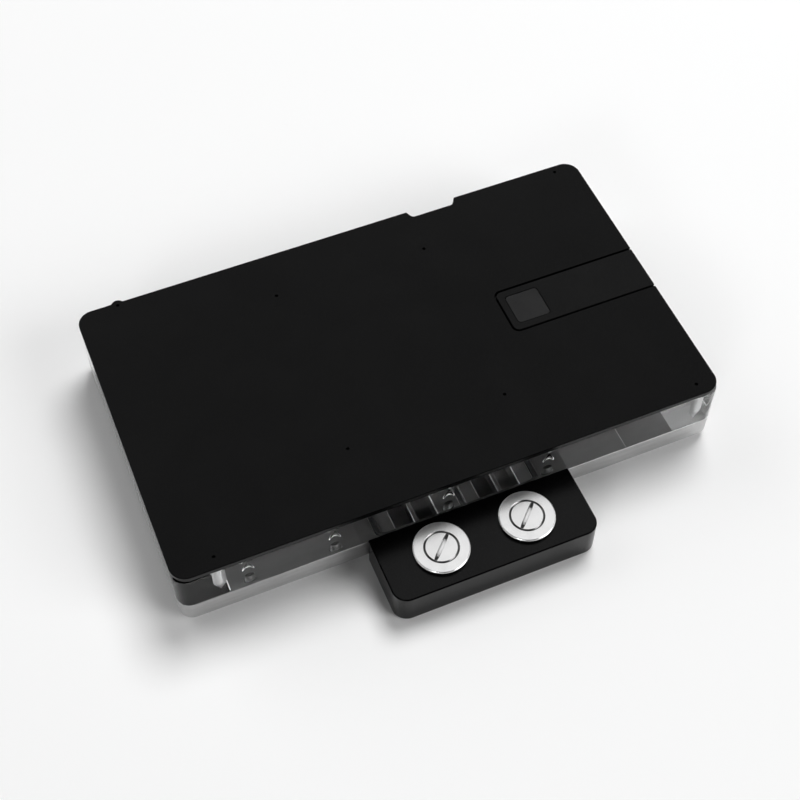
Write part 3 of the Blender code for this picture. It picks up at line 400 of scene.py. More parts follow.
def turnedMetal(name, values):
    # lathe rings round the piece's own axis
    finish, tree, shader = newFinish(name)
    rings = linesOf(tree, "RINGS", "Z", values)
    cloudy = grainOf(tree, values["cloudPerMetre"], 3.0)
    dress(tree, shader, values, cloudy, rings, rings)
    shader.inputs["Metallic"].default_value = values["metallic"]
    return finish


coverFinish = {
    "dark": (0.0014, 0.0014, 0.0015),
    "light": (0.0022, 0.0022, 0.0023),
    "grainPerMetre": 7000,
    "cloudPerMetre": 60,
    "roughness": (0.24, 0.30),
    "bump": 0.06,
    "depth": 0.004,
    "shine": 0.09,
}
stripFinish = {
    **coverFinish,
    "dark": (0.0012, 0.0012, 0.0013),
    "light": (0.0020, 0.0020, 0.0021),
    "cloudPerMetre": 90,
    "shine": 0.12,
}
tileFinish = {
    "dark": (0.012, 0.012, 0.0122),
    "light": (0.016, 0.016, 0.0162),
    "grainPerMetre": 9000,
    "cloudPerMetre": 160,
    "roughness": (0.20, 0.26),
    "bump": 0.04,
    "depth": 0.004,
    "shine": 0.12,
}
acetalFinish = {
    "dark": (0.0007, 0.0007, 0.0008),
    "light": (0.0014, 0.0014, 0.0015),
    "grainPerMetre": 5200,
    "cloudPerMetre": 90,
    "roughness": (0.22, 0.30),
    "bump": 0.10,
    "depth": 0.005,
    "shine": 0.17,
}
rubberFinish = {
    "dark": (0.17, 0.17, 0.17),
    "light": (0.21, 0.21, 0.21),
    "grainPerMetre": 4200,
    "cloudPerMetre": 300,
    "roughness": (0.55, 0.75),
    "bump": 0.2,
    "depth": 0.01,
    "shine": 0.35,
}
# painted shade: a near-black finish laid into the deep left relief, where the recess lies in shade
pocketShadeFinish = {
    "dark": (0.004, 0.004, 0.004),
    "light": (0.008, 0.008, 0.008),
    "grainPerMetre": 5000,
    "cloudPerMetre": 200,
    "roughness": (0.5, 0.6),
    "bump": 0.08,
    "depth": 0.005,
    "shine": 0.0,
}
nickelFinish = {
    "dark": (0.50, 0.50, 0.50),
    "light": (0.58, 0.58, 0.58),
    "spacing": 0.35,
    "direction": "X",
    "wobble": 1.2,
    "wobbleScale": 3.0,
    "cloudPerMetre": 120,
    "stretch": (1, 1, 6),
    "roughness": (0.34, 0.44),
    "bump": 0.02,
    "depth": 0.002,
    "metallic": 1.0,
}
nickelLandFinish = {
    **nickelFinish,
    "dark": (0.40, 0.40, 0.40),
    "light": (0.47, 0.47, 0.47),
    "roughness": (0.46, 0.56),
    "metallic": 0.3,
}
# painted highlight: a matt near-white copy of the nickel land, for edges and the right relief that
# should look lit
highlightRimFinish = {
    **nickelLandFinish,
    "dark": (0.88, 0.88, 0.88),
    "light": (0.94, 0.94, 0.94),
    "metallic": 0.0,
}
# painted glint: a bright polished copy of the nickel, for thin bright lines along the pocket edges
glintEdgeFinish = {
    **nickelFinish,
    "dark": (0.90, 0.90, 0.90),
    "light": (0.98, 0.98, 0.98),
    "roughness": (0.10, 0.20),
}
flowPlateFinish = {
    **nickelFinish,
    "light": (0.62, 0.62, 0.61),
    "spacing": 0.2,
    "direction": "Y",
    "cloudPerMetre": 200,
    "stretch": (1, 8, 1),
    "roughness": (0.28, 0.42),
    "bump": 0.08,
    "depth": 0.006,
}
plugFinish = {
    "dark": (0.90, 0.90, 0.90),
    "light": (0.97, 0.97, 0.97),
    "spacing": 0.16,
    "wobble": 0.3,
    "wobbleScale": 2.0,
    "cloudPerMetre": 260,
    "roughness": (0.25, 0.31),
    "bump": 0.02,
    "depth": 0.002,
    "metallic": 1.0,
}
# painted shade: a dark copy of the plug finish for the ring groove and the ends of the slot
plugGrooveShadeFinish = {**plugFinish, "dark": (0.16, 0.16, 0.16), "light": (0.24, 0.24, 0.24)}
bushFinish = {
    **plugFinish,
    "spacing": 0.2,
    "wobble": 0.4,
    "cloudPerMetre": 500,
    "roughness": (0.30, 0.40),
    "bump": 0.05,
    "depth": 0.006,
    "metallic": 0.4,
}
steelFinish = {
    **plugFinish,
    "dark": (0.19, 0.19, 0.19),
    "light": (0.27, 0.27, 0.27),
    "spacing": 0.22,
    "wobble": 0.6,
    "cloudPerMetre": 420,
    "roughness": (0.22, 0.36),
    "bump": 0.08,
    "depth": 0.008,
}
acrylicFinish = {
    "tint": (0.985, 0.992, 0.992),
    "glint": (0.02, 0.02, 0.02),
    "bend": 1.49,
    "polishPerMetre": 90,
    "polishStretch": (1, 1, 3),
    "ripplePerMetre": 1800,
    "ripple": 0.01,
    "rippleDepth": 0.001,
    "polished": (0.0, 0.03),
    "drilled": (0.14, 0.30),
    "joinedPerMetre": 700,
    "joinedDark": (0.5, 0.5, 0.5),
    "joinedLight": (0.6, 0.6, 0.6),
    "joinedAlpha": 0.004,
}


def clearAcrylic(name, roughness):
    values = acrylicFinish
    finish, tree, shader = newFinish(name)
    polish = grainOf(tree, values["polishPerMetre"], 2.0, values["polishStretch"])
    faint = grainOf(tree, values["ripplePerMetre"], 2.0)
    roughBetween(tree, shader, polish, *roughness)
    raised(tree, shader, faint, values["ripple"], values["rippleDepth"])
    shader.inputs["Base Color"].default_value = (*values["tint"], 1)
    shader.inputs["Transmission Weight"].default_value = 1.0
    shader.inputs["Specular Tint"].default_value = (*values["glint"], 1)
    shader.inputs["IOR"].default_value = values["bend"]
    return finish


def joinedAcrylic(name):
    # where the clear top is pressed on the metal below and the cover above, light goes straight on
    values = acrylicFinish
    finish, tree, shader = newFinish(name)
    dark, light = values["joinedDark"], values["joinedLight"]
    faint = grainOf(tree, values["joinedPerMetre"], 2.0)
    colourBetween(tree, faint, dark, light, shader.inputs["Base Color"])
    shader.inputs["Alpha"].default_value = values["joinedAlpha"]
    return finish


finishes = {
    "clear_acrylic": clearAcrylic("clear_acrylic", acrylicFinish["polished"]),
    "drilled_acrylic": clearAcrylic("drilled_acrylic", acrylicFinish["drilled"]),
    "clear_acrylic_joined": joinedAcrylic("clear_acrylic_joined"),
}
for makeFinish, named in (
    (
        paintedOrMoulded,
        {
            "black_anodised": coverFinish,
            # lit and shaded copies of the anodised finish: more shine for a painted sheen on the
            # sides, almost none for a painted shade line on the broken edges
            "black_anodised_side": {**coverFinish, "shine": 0.19},
            "black_anodised_edge": {**coverFinish, "shine": 0.02},
            "black_screw": {**coverFinish, "cloudPerMetre": 900, "bump": 0.05},
            "black_strip": stripFinish,
            "badge_tile": tileFinish,
            "black_acetal": acetalFinish,
            # lit and shaded copies of the acetal finish: more shine for a painted sheen on the
            # sides, almost none for a painted shade line on the broken edges
            "black_acetal_side": {**acetalFinish, "shine": 0.26},
            "black_acetal_edge": {**acetalFinish, "shine": 0.02},
            "black_rubber": rubberFinish,
            "dark_pocket": pocketShadeFinish,
        },
    ),
    (
        milledMetal,
        {
            "nickel_plate": nickelFinish,
            "nickel_land": nickelLandFinish,
            "pale_rim": highlightRimFinish,
            "bright_edge": glintEdgeFinish,
            "flow_plate_steel": flowPlateFinish,
        },
    ),
    (
        turnedMetal,
        {
            "bright_plug": plugFinish,
            "plug_groove": plugGrooveShadeFinish,
            "bright_bush": bushFinish,
            "steel_screw": steelFinish,
        },
    ),
):
    for name, values in named.items():
        finishes[name] = makeFinish(name, values)
print("finishes made:", len(finishes))

# The body's outline, shared by the cover, the clear top and the cold plate

bodyShape = {
    "length": 189.0,
    "depth": 111.0,
    "notch": (122.5, 141.2),
    "notchSlant": (1.3, 1.8),
    "notchDepth": 2.9,
    "notchCorner": 1.5,
    "notchRim": 0.5,
    "ear": (14.74, 109.7),
    "earSteps": 24,
    "standoffs": 3.1,
}
coldLow = bodyShape["standoffs"]
coverScrewPlaces = [middleOf(f"cover_screw_{number}") for number in range(1, 9)]
bodyScrewPlaces = [middleOf(f"body_screw_{number}") for number in range(1, 14)]


def bodyOutline(corner, earRadius=0.0):
    b = bodyShape
    length, depth, rim, inner = b["length"], b["depth"], b["notchRim"], b["notchCorner"]
    floor = depth - b["notchDepth"]
    (left, right), (leftSlant, rightSlant) = b["notch"], b["notchSlant"]
    corners = [(0, 0, corner), (length, 0, corner), (length, depth, corner), (right, depth, rim)]
    corners += [(right - rightSlant, floor, inner), (left + leftSlant, floor, inner)]
    corners.append((left, depth, rim))
    if earRadius:
        rise = math.asin((depth - b["ear"][1]) / earRadius)
        sweep = math.pi - 2 * rise
        for step in range(b["earSteps"] + 1):
            corners.append((*onCircle(b["ear"], earRadius, rise + sweep * step / b["earSteps"]), 0))
    corners.append((0, depth, corner))
    return roundedOutline(corners)


# Cover plate with its strip, tile and eight screws

cover = {
    "corner": 5.5,
    "earRadius": 2.4,
    "brokenEdge": 0.22,
    "shankGap": 0.3,
    "headGap": 0.02,
    "headRim": 0.1,
    "holeSides": 40,
}
strip = {
    "left": 136.0,
    "width": 17.35,
    "middle": 55.8,
    "corner": 2.0,
    "groove": 0.7,
    "depth": 1.2,
    "lift": 0.3,
    "brokenEdge": 0.15,
}
tile = {
    "middle": 144.5,
    "side": 11.9,
    "corner": 1.2,
    "gap": 0.22,
    "brokenEdge": 0.15,
    "edgeRounds": 3,
}
coverScrew = {
    "head": 1.9,
    "headDepth": 1.0,
    "headRecess": 0.01,
    "hexagon": 1.15,
    "hexagonDepth": 0.7,
    "hexagonTurn": 0.35,
    "shank": 1.0,
    "endShare": 0.8,
    "pitch": 0.4,
    "thread": 0.14,
    "rim": 0.12,
    "rimEdge": 0.01,
    "endCone": 0.2,
    "neck": 0.1,
    "sides": 40,
}


def stripOutline(groove, right):
    half = strip["width"] / 2 + groove
    left, radius = strip["left"] - groove, strip["corner"] + groove
    front, back = strip["middle"] - half, strip["middle"] + half
    corners = [(left, front, radius), (right, front, 0), (right, back, 0), (left, back, radius)]
    return roundedOutline(corners)


def tileOutline(gap):
    half = tile["side"] / 2 + gap
    x, y = tile["middle"], strip["middle"]
    return roundedBox(x - half, x + half, y - half, y + half, tile["corner"] + gap)


def makeCover():
    c, s = cover, coverScrew
    outline = bodyOutline(c["corner"], c["earRadius"])
    plate = slabPiece("coverPlate", "black_anodised", outline, coverLow, coverHigh)
    breakEdges(plate, c["brokenEdge"])

    below, above = coverLow - overcut, coverHigh + overcut
    outline = stripOutline(strip["groove"], bodyShape["length"] + overcut)
    pocket = carve(plate, "strip pocket", addSlab, outline, coverHigh - strip["depth"], above)
    hole = s["shank"] + c["shankGap"]
    rim = s["head"] + c["headGap"]
    profile = [(0, below), (hole, below), (hole, coverHigh - s["headDepth"])]
    profile += [(rim, coverHigh - c["headRim"]), (rim, above), (0, above)]
    holes = carve(plate, "countersinks", addTurned, profile, coverScrewPlaces, c["holeSides"])
    settle(plate, (pocket, holes))
    paintSideSheenAndEdgeShade(plate, "black_anodised_side", "black_anodised_edge")
    standIn(plate, "black_anodised", "cover_plate")


def makeStripAndTile():
    low = coverHigh - strip["depth"] + strip["lift"]
    outline = stripOutline(0, bodyShape["length"])
    piece = slabPiece("accentStrip", "black_strip", outline, low, coverHigh)
    breakEdges(piece, strip["brokenEdge"])
    outline = tileOutline(tile["gap"])
    opening = carve(piece, "tile window", addSlab, outline, low - overcut, coverHigh + overcut)
    settle(piece, (opening,))
    paintSideSheenAndEdgeShade(piece, "black_anodised_side", "black_anodised_edge")
    standIn(piece, "black_strip", "accent_strip")

    piece = slabPiece("badgeTile", "badge_tile", tileOutline(0), low, coverHigh)
    breakEdges(piece, tile["brokenEdge"], tile["edgeRounds"])
    settle(piece)
    standIn(piece, "badge_tile", "badge_tile")


def makeCoverScrews():
    s = coverScrew
    head, shank, sides = s["head"], s["shank"], s["sides"]
    under, neck, rimEdge = -s["headDepth"], s["neck"], s["rimEdge"]
    high = coverHigh - s["headRecess"]
    for number, place in enumerate(coverScrewPlaces, 1):
        node = f"cover_screw_{number}"
        end = heights(node)[0] - high
        at = (*place, high)
        lower = [(0, end), (shank * s["endShare"], end)]
        thread = (shank, s["thread"], s["pitch"], end + s["endCone"], under - neck)
        upper = [(shank, under - neck / 2), (head, -s["rim"]), (head, -rimEdge)]
        upper += [(head - rimEdge, 0), (0, 0)]
        screw = threadedPiece(f"coverScrew{number}", "black_screw", at, lower, thread, upper, sides)
        turn = s["hexagonTurn"] * number
        hexagon = (s["hexagon"], -s["hexagonDepth"], overcut, turn)
        socket = carve(screw, "hexagon", addHexagon, *hexagon, place=at)
        settle(screw, (socket,))
        standIn(screw, "black_screw", node)


# Clear top with its drillings, and the threaded bushes in its corners

clear = {
    "corner": 4.5,
    "earRadius": 2.97,
    "brokenEdge": 0.08,
    "drill": 2.15,
    "drillDepth": 11.0,
    "drillPoint": 4.0,
    "drillSides": 48,
    "tappedSides": 32,
}
bush = {
    "radius": 2.2,
    "length": 13.8,
    "point": 4.0,
    "gap": 0.3,
    "pitch": 0.7,
    "thread": 0.22,
    "bore": 1.3,
    "boreDepth": 7.0,
    "rimEdge": 0.12,
    "boreEdge": 0.15,
    "collar": 0.6,
    "neck": 0.2,
    "coneShare": 0.98,
    "sides": 40,
}
bushPlaces, tappedPlaces = coverScrewPlaces[:4], coverScrewPlaces[4:]


def makeClearTop():
    c, b = clear, bush
    outline = bodyOutline(c["corner"], c["earRadius"])
    slab = slabPiece("clearTop", "clear_acrylic", outline, clearLow, clearHigh)
    slab.data.materials.append(finishes["clear_acrylic_joined"])
    slab.data.materials.append(finishes["drilled_acrylic"])
    joined, drilled = 1, 2
    breakEdges(slab, c["brokenEdge"])

    drill, below, above = c["drill"], clearLow - overcut, clearHigh + overcut
    pointHigh = clearLow + c["drillDepth"]
    pointLow = pointHigh - c["drillPoint"]
    seatEnd = clearHigh - b["length"] - 2 * b["gap"]
    coneHigh = seatEnd + b["point"] + b["gap"]
    seatRadius = b["radius"] + b["gap"]
    boreEnd = clearHigh - b["boreDepth"]
    blind = [(0, below), (drill, below), (drill, pointLow), (0, pointHigh)]
    seat = [(0, seatEnd), (seatRadius, coneHigh), (seatRadius, above), (0, above)]
    tapped = [(0, boreEnd), (b["bore"], boreEnd), (b["bore"], above), (0, above)]

    def addBores(shape):
        addTurned(shape, blind, bodyScrewPlaces, c["drillSides"])
        addTurned(shape, seat, bushPlaces, c["drillSides"])
        addTurned(shape, tapped, tappedPlaces, c["tappedSides"])

    bores = carve(slab, "drillings", addBores)
    settle(slab, (bores,))

    # the finish of a face is told by its place, give or take this much
    near, level = 0.05, 0.01
    for face in slab.data.polygons:
        at = toDrawing @ face.center
        index = joined if min(abs(at.z - clearLow), abs(at.z - clearHigh)) < level else 0
        for place in bodyScrewPlaces + bushPlaces:
            away = math.hypot(at.x - place[0], at.y - place[1])
            if away < drill + near and pointLow + near < at.z < pointHigh:
                index = drilled
            if away < drill + near and at.z < pointLow - near:
                index = joined
            if away < seatRadius + near and place in bushPlaces:
                index = joined
        face.material_index = index
    standIn(slab, "clear_acrylic", "clear_top")


def makeBushes():
    b = bush
    radius, bore, sides, neck = b["radius"], b["bore"], b["sides"], b["neck"]
    collar, rimEdge, boreEdge = b["collar"], b["rimEdge"], b["boreEdge"]
    for number, place in enumerate(bushPlaces, 1):
        node = f"cover_insert_{number}"
        low, high = heights(node)
        end = low - high
        coneHigh = end + b["point"]
        at = (*place, high)
        lower = [(0, end), ((radius - b["thread"]) * b["coneShare"], coneHigh - neck)]
        thread = (radius, b["thread"], b["pitch"], coneHigh, -collar - neck)
        upper = [(radius, -collar), (radius, -rimEdge), (radius - rimEdge, 0)]
        upper += [(bore + boreEdge, 0), (bore, -boreEdge)]
        upper += [(bore, -b["boreDepth"]), (0, -b["boreDepth"])]
        piece = threadedPiece(f"coverBush{number}", "bright_bush", at, lower, thread, upper, sides)
        soften(piece, softAngle=35)
        standIn(piece, "bright_bush", node)


# Terminal block and the seals round its passages

terminal = {
    "left": 62.6,
    "length": 71.0,
    "depth": 25.0,
    "back": -0.3,
    "frontCorner": 5.0,
    "backCorner": 0.5,
    "arcStep": 5,
    "brokenEdge": 0.4,
    "ports": (82.9, 112.9),
    "portY": -12.4,
    "portRadius": 5.95,
    "portMouth": 0.4,
    "portStep": 7.25,
    "portStepDepth": 1.3,
    "portSides": 64,
    "passages": (81.5, 110.9),
    "passageWidth": 11.2,
    "passageLow": 5.6,
    "passageHigh": 8.2,
    "tabs": (68.4, 96.2, 127.8),
    "tabWidth": 7.6,
    "tabReach": 6.3,
    "tabHigh": 5.3,
    "tabGap": 0.3,
    "boltY": -3.3,
    "boltHole": 1.5,
    "boltDepth": 5.6,
    "boltSides": 32,
    "sealLand": 0.6,
    "sealGroove": 1.9,
    "sealDepth": 1.3,
    "sealGap": 0.6,
    "sealEdge": 0.3,
    "sealRounds": 4,
}


def addLoop(shape, centreX, centreZ, innerWidth, innerHeight, band, front, back):
    # a ring standing on edge round a passage
    loops = []
    for growth, y in ((2 * band, front), (2 * band, back), (0, back), (0, front)):
        height = innerHeight + growth
        outline = boxRound(0, 0, innerWidth + growth, height, height / 2)
        loops.append([shape.verts.new((centreX + x, y, centreZ + z)) for x, z in outline])
    for low, high in zip(loops, loops[1:] + loops[:1]):
        for index in range(len(low)):
            shape.faces.new((low[index - 1], low[index], high[index], high[index - 1]))


def addPassages(shape):
    t = terminal
    half = t["passageWidth"] / 2
    for x in t["passages"]:
        outline = roundedBox(x - half, x + half, t["portY"], overcut)
        addSlab(shape, outline, t["passageLow"], t["passageHigh"])


def addPorts(shape):
    t = terminal
    radius, step, mouth = t["portRadius"], t["portStep"], t["portMouth"]
    stepLow, above = terminalHigh - t["portStepDepth"], terminalHigh + overcut
    profile = [(0, -overcut), (radius + mouth, -overcut), (radius + mouth, 0), (radius, mouth)]
    profile += [(radius, stepLow), (step, stepLow), (step, above), (0, above)]
    addTurned(shape, profile, [(x, t["portY"]) for x in t["ports"]], t["portSides"])


def addTabRecesses(shape):
    t = terminal
    half = t["tabWidth"] / 2 + t["tabGap"]
    for x in t["tabs"]:
        outline = roundedBox(x - half, x + half, -t["tabReach"] - t["tabGap"], overcut)
        addSlab(shape, outline, -overcut, t["tabHigh"] + t["tabGap"])


def addBoltHoles(shape):
    t = terminal
    radius, end = t["boltHole"], t["tabHigh"] + t["boltDepth"]
    profile = [(0, coldLow), (radius, coldLow), (radius, end), (0, end)]
    addTurned(shape, profile, [(x, t["boltY"]) for x in t["tabs"]], t["boltSides"])


def addPassageGrooves(shape):
    t = terminal
    width = t["passageWidth"] + 2 * t["sealLand"]
    height = t["passageHigh"] - t["passageLow"] + 2 * t["sealLand"]
    middle, floor = (t["passageLow"] + t["passageHigh"]) / 2, t["back"] - t["sealDepth"]
    for x in t["passages"]:
        addLoop(shape, x, middle, width, height, t["sealGroove"], floor, overcut)


def makeTerminal():
    t = terminal
    left, front, back = t["left"], t["back"] - t["depth"], t["back"]
    right = left + t["length"]
    corners = [(left, front, t["frontCorner"]), (right, front, t["frontCorner"])]
    corners += [(right, back, t["backCorner"]), (left, back, t["backCorner"])]
    outline = roundedOutline(corners, t["arcStep"])
    block = slabPiece("terminalBlock", "black_acetal", outline, 0, terminalHigh)
    breakEdges(block, t["brokenEdge"])
    tools = [
        carve(block, "passages", addPassages),
        carve(block, "ports", addPorts),
        carve(block, "tab recesses", addTabRecesses),
        carve(block, "bolt holes", addBoltHoles),
        carve(block, "seal grooves", addPassageGrooves),
    ]
    settle(block, tools)
    paintSideSheenAndEdgeShade(block, "black_acetal_side", "black_acetal_edge")
    standIn(block, "black_acetal", "terminal_block")


def makeTerminalSeals():
    t = terminal
    band = t["sealGroove"] - t["sealGap"]
    middle = (t["passageLow"] + t["passageHigh"]) / 2
    for side, x in zip(("left", "right"), t["passages"]):
        node = f"terminal_seal_{side}"
        low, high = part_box(node)
        front = (low.y - bodyCorner.y) * perMetre
        back = (high.y - bodyCorner.y) * perMetre
        width = (high.x - low.x) * perMetre
        height = (high.z - low.z) * perMetre
        shape = bmesh.new()
        addLoop(shape, x, middle, width - 2 * band, height - 2 * band, band, front, back)
        seal = toPiece(shape, f"terminalSeal{side.title()}", finishes["black_rubber"])
        breakEdges(seal, t["sealEdge"], t["sealRounds"])
        settle(seal, softAngle=50)
        standIn(seal, "black_rubber", node)


# Port plugs and their O-rings

plug = {
    "radius": 9.3,
    "headHeight": 1.3,
    "edge": 0.35,
    "lowerEdge": 0.15,
    "edgeRound": ((0.03, 0.06), (0.04, 0.02)),
    "stubRadius": 5.6,
    "stubLength": 3.9,
    "stubEdge": 0.4,
    "boreRadius": 3.6,
    "boreDepth": 1.8,
    "boreEdge": 0.2,
    "grooveRadius": 5.5,
    "grooveWidth": 0.7,
    "grooveDepth": 0.4,
    "grooveRound": (0.06, 0.03),
    "grooveLip": (0.03, 0.02),
    "slotWidth": 0.8,
    "slotLength": 10.2,
    "slotDepth": 1.0,
    "slotEdge": 0.03,
    "slotAngle": 45,
    "slotSteps": 36,
    "slotShadeFrom": 2.6,
    "pitch": 1.0,
    "thread": 0.35,
    "threadEnds": (0.15, 1.4),
    "neck": (0.05, 1.2),
    "perTurn": 8,
    "sides": 144,
}
oRing = {"sides": 96, "rounds": 20}


def addSlot(shape, top):
    # the slot's floor is an arc, as a thin round cutter leaves it, and its edges are broken
    p = plug
    half, steps, above = p["slotLength"] / 2, p["slotSteps"], 0.4
    rows = []
    for across, flare in ((-1, 1), (-1, 0), (1, 0), (1, 1)):
        row = []
        for step in range(steps + 1):
            along = -half + 2 * half * step / steps
            floor = top - p["slotDepth"] * (1 - (along / half) ** 2)
            side = across * (p["slotWidth"] / 2 + flare * (p["slotEdge"] + above))
            height = top + above if flare else min(floor, top - p["slotEdge"])
            row.append(shape.verts.new((along, side, height)))
        rows.append(row)
    for near, far in zip(rows, rows[1:] + rows[:1]):
        for step in range(steps):
            shape.faces.new((near[step], near[step + 1], far[step + 1], far[step]))
    shape.faces.new([row[0] for row in rows])
    shape.faces.new([row[-1] for row in rows])
    turn = Matrix.Rotation(math.radians(p["slotAngle"]), 3, "Z")
    bmesh.ops.rotate(shape, verts=shape.verts, cent=(0, 0, 0), matrix=turn)


def makePlugs():
    p = plug
    radius, top, edge, lowerEdge = p["radius"], p["headHeight"], p["edge"], p["lowerEdge"]
    stub, end, bore = p["stubRadius"], -p["stubLength"], p["boreRadius"]
    boreEnd = end + p["boreDepth"]
    groove, grooveLow = p["grooveRadius"], top - p["grooveDepth"]
    inner = groove - p["grooveWidth"] / 2
    outer = groove + p["grooveWidth"] / 2
    boreEdge, (threadLow, threadHigh), (neck, neckLow) = p["boreEdge"], p["threadEnds"], p["neck"]
    lower = [(0, boreEnd), (bore, boreEnd), (bore, end + boreEdge), (bore + boreEdge, end)]
    lower.append((stub - p["stubEdge"], end))
    thread = (stub, p["thread"], p["pitch"], end + threadLow, -threadHigh, p["perTurn"])
    (lowIn, lowUp), (highIn, highDown) = p["edgeRound"]
    (lip, lipDrop), (soft, rise) = p["grooveLip"], p["grooveRound"]
    upper = [(stub - neck, -neckLow), (stub - neck, 0), (radius - lowerEdge, 0)]
    upper += [(radius, lowerEdge), (radius, top - edge), (radius - lowIn, top - edge + lowUp)]
    upper += [(radius - edge + highIn, top - highDown), (radius - edge, top)]
    upper += [(outer + lip, top), (outer, top - lipDrop), (groove + soft, grooveLow + rise)]
    upper += [(groove, grooveLow), (groove - soft, grooveLow + rise)]
    upper += [(inner, top - lipDrop), (inner - lip, top), (0, top)]
    for side in ("left", "right"):
        node = f"port_plug_{side}"
        place = (*middleOf(node), heights(node)[1] - top)
        name = f"portPlug{side.title()}"
        piece = threadedPiece(name, "bright_plug", place, lower, thread, upper, p["sides"])
        slot = carve(piece, "coin slot", addSlot, top, place=place)
        settle(piece, (slot,), softAngle=24)
        piece.data.materials.append(finishes["plug_groove"])
        for face in piece.data.polygons:
            # the ring groove and the ends of the slot get a dark copy of the plug finish as painted
            # shade
            away = math.hypot(face.center.x, face.center.y) * perMetre
            if p["slotShadeFrom"] < away < outer and face.center.z > 0 and face.normal.z < 0.97:
                face.material_index = 1
        standIn(piece, "bright_plug", node)


def makeORings():
    sides, rounds = oRing["sides"], oRing["rounds"]
    for side in ("left", "right"):
        node = f"plug_o_ring_{side}"
        low, high = heights(node)
        boxLow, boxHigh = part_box(node)
        section = (high - low) / 2
        middle = (boxHigh.x - boxLow.x) * perMetre / 2 - section
        angles = [math.tau * turn / rounds for turn in range(rounds + 1)]
        profile = [onCircle((middle, (high + low) / 2), section, angle) for angle in angles]
        shape = bmesh.new()
        addTurned(shape, profile, [middleOf(node)], sides)
        bmesh.ops.remove_doubles(shape, verts=shape.verts, dist=0.001)
        piece = toPiece(shape, f"plugORing{side.title()}", finishes["black_rubber"])
        soften(piece, softAngle=60)
        standIn(piece, "black_rubber", node)


# Screws seen from below

screwBelow = {
    "headEdge": 0.25,
    "underEdge": 0.1,
    "threadShare": 0.35,
    "endShare": 0.5,
    "socketRim": 0.05,
    "socketAbove": 0.3,
    "socketSides": 40,
    "sides": 48,
}
bodyScrew = {
    **screwBelow,
    "head": 3.2,
    "headHeight": 1.8,
    "shank": 1.85,
    "pitch": 0.7,
    "hexagon": 2.5,
    "hexagonDepth": 1.1,
    "hexagonTurn": 0.41,
}
terminalBolt = {
    **screwBelow,
    "head": 2.2,
    "headHeight": 2.2,
    "shank": 1.2,
    "pitch": 0.5,
    "hexagon": 2.0,
    "hexagonDepth": 1.2,
    "hexagonTurn": 0.6,
}


def addSocket(shape, s, turn):
    # the hexagon and the chamfer round it
    addHexagon(shape, s["hexagon"], -overcut, s["hexagonDepth"], turn)
    rim, above = s["socketRim"], s["socketAbove"]
    across = s["hexagon"] / math.sqrt(3) + rim
    chamfer = [(0, -above), (across + above, -above), (across, rim), (0, rim)]
    addTurned(shape, chamfer, [(0, 0)], s["socketSides"])


def makeScrewBelow(s, name, node, number):
    head, under, shank, pitch = s["head"], s["headHeight"], s["shank"], s["pitch"]
    edge, neck = s["headEdge"], s["underEdge"]
    low, high = heights(node)
    end = high - low
    place = (*middleOf(node), low)
    lower = [(0, 0), (head - edge, 0), (head, edge), (head, under - neck), (head - neck, under)]
    lower.append((shank, under))
    thread = (shank, pitch * s["threadShare"], pitch, under + neck, end - neck)
    upper = [(shank - pitch * s["endShare"], end), (0, end)]
    screw = threadedPiece(name, "steel_screw", place, lower, thread, upper, s["sides"])
    socket = carve(screw, "hexagon", addSocket, s, s["hexagonTurn"] * number, place=place)
    settle(screw, (socket,))
    standIn(screw, "steel_screw", node)


def makeScrewsBelow():
    for number in range(1, len(bodyScrewPlaces) + 1):
        makeScrewBelow(bodyScrew, f"bodyScrew{number}", f"body_screw_{number}", number)
    for number in range(1, len(terminal["tabs"]) + 1):
        makeScrewBelow(terminalBolt, f"terminalBolt{number}", f"terminal_bolt_{number}", number)


# Cold plate with its flow field, and what lies in it

